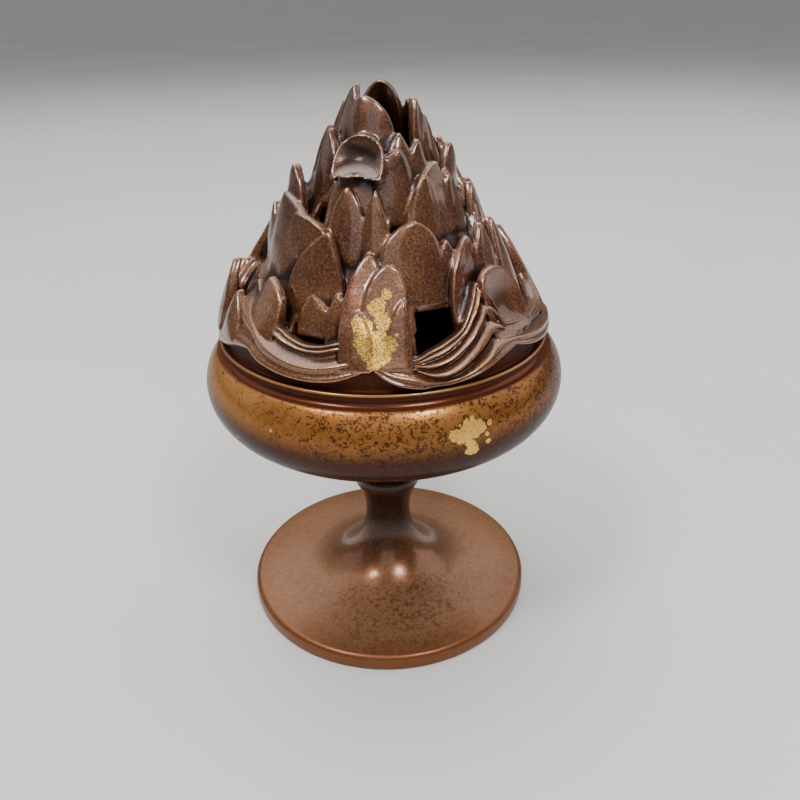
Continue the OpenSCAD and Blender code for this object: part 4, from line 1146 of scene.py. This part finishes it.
class CENSER_OT_fittings(bpy.types.Operator):
    """Finish the bolt, washer, heat pad and pin stand"""
    bl_idname = "censer.fittings"
    bl_label = "Fittings"

    def execute(self, context):
        look = context.scene.censer_colours
        steel, brass = steel_finish(look), brass_finish(look)
        place("pad_felt", *make_felt(), fibre_finish(look), "stand", "heat_pad", "pad_fibre")
        fittings = {"tie_bolt": steel, "tie_washer": steel, "holder_base": brass, "holder_pin": brass}
        for node, finish in fittings.items():
            mesh = frame["nodes"][node].data
            mesh.materials.clear()
            mesh.materials.append(finish)
        return {"FINISHED"}


# Lights: name, kind, place in metres, width (of the sun in degrees) and power.
LIGHTS = (
    ("sky_light", "SUN", (-0.3, 0.2, 1.0), 50.0, 0.8), ("top_light", "AREA", (0.0, 0.55, 1.1), 1.2, 11.0),
    ("left_lamp", "AREA", (-0.39, -0.34, 0.85), 0.2, 4.5),
    ("right_lamp", "AREA", (0.3, -0.48, 0.82), 0.2, 4.5),
    ("left_light", "AREA", (-0.9, 0.3, 0.7), 0.9, 1.5), ("right_light", "AREA", (0.9, 0.3, 0.7), 0.9, 3.5),
    ("front_light", "AREA", (-0.1, -1.0, 0.9), 0.9, 2.0))
LIT_POINT = Vector((0.0, 0.0, 0.09))
SENSOR, PHOTO_WIDTH, FOCAL_PIXELS = 36.0, 800.0, 778.0
EYE, EYE_DOWN, EYE_TILT = (0.00388, -0.1828, 0.1533), 27.67, -0.88


class CENSER_OT_stage(bpy.types.Operator):
    """Set the pale floor, the soft studio light and the camera"""
    bl_idname = "censer.stage"
    bl_label = "Stage"

    def execute(self, context):
        reach = 90000.0
        corners = [(-reach, -reach, 0), (reach, -reach, 0), (reach, reach, 0), (-reach, reach, 0)]
        place("floor", corners, [(0, 1, 2, 3)], floor_finish(context.scene.censer_colours))
        world = bpy.data.worlds.new("studio")
        world.use_nodes = True
        air = world.node_tree.nodes["Background"].inputs
        air["Color"].default_value = (0.92, 0.915, 0.90, 1.0)
        air["Strength"].default_value = 0.14
        context.scene.world = world
        for name, kind, spot, wide, power in LIGHTS:
            light = bpy.data.lights.new(name, kind)
            light.energy = power
            if kind == "SUN":
                light.angle = math.radians(wide)
            else:
                light.size = wide
            lamp = linked(name, light)
            lamp.location = spot
            lamp.rotation_euler = (LIT_POINT - Vector(spot)).to_track_quat("-Z", "Y").to_euler()
        camera = bpy.data.cameras.new("camera")
        camera.sensor_width = SENSOR
        camera.lens = SENSOR * FOCAL_PIXELS / PHOTO_WIDTH
        camera.clip_start = 0.01
        eye = linked("camera", camera)
        turn = Matrix.Rotation(math.radians(90.0 - EYE_DOWN), 4, "X")
        turn = turn @ Matrix.Rotation(math.radians(EYE_TILT), 4, "Z")
        eye.matrix_world = Matrix.Translation(EYE) @ turn
        context.scene.camera = eye
        return {"FINISHED"}


class CENSER_PT_panel(bpy.types.Panel):
    """Lists the pieces of the censer and their settings"""
    bl_idname = "CENSER_PT_panel"
    bl_label = "Bronze Hill Censer"
    bl_space_type = "VIEW_3D"
    bl_region_type = "UI"
    bl_category = "Censer"

    def draw(self, context):
        column = self.layout.column()
        for step in STEPS:
            column.operator(step.bl_idname)
        for group in (context.scene.censer_sizes, context.scene.censer_colours):
            for key in group.__annotations__:
                column.prop(group, key)


STEPS = (CENSER_OT_foot, CENSER_OT_bowl, CENSER_OT_lid_ring, CENSER_OT_hill, CENSER_OT_fittings,
         CENSER_OT_stage)
CLASSES = (CENSER_PG_sizes, CENSER_PG_colours) + STEPS + (CENSER_PT_panel,)


def register():
    for item in CLASSES:
        bpy.utils.register_class(item)
    bpy.types.Scene.censer_sizes = bpy.props.PointerProperty(type=CENSER_PG_sizes)
    bpy.types.Scene.censer_colours = bpy.props.PointerProperty(type=CENSER_PG_colours)


def unregister():
    del bpy.types.Scene.censer_colours
    del bpy.types.Scene.censer_sizes
    for item in reversed(CLASSES):
        bpy.utils.unregister_class(item)


def main():
    """Register the add-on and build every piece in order."""
    register()
    for item in list(bpy.data.objects):
        if item.type in {"LIGHT", "CAMERA"} or item.name == "Cube":
            bpy.data.objects.remove(item)
    for step in STEPS:
        group, name = step.bl_idname.split(".")
        getattr(getattr(bpy.ops, group), name)()


if __name__ == "__main__":
    main()
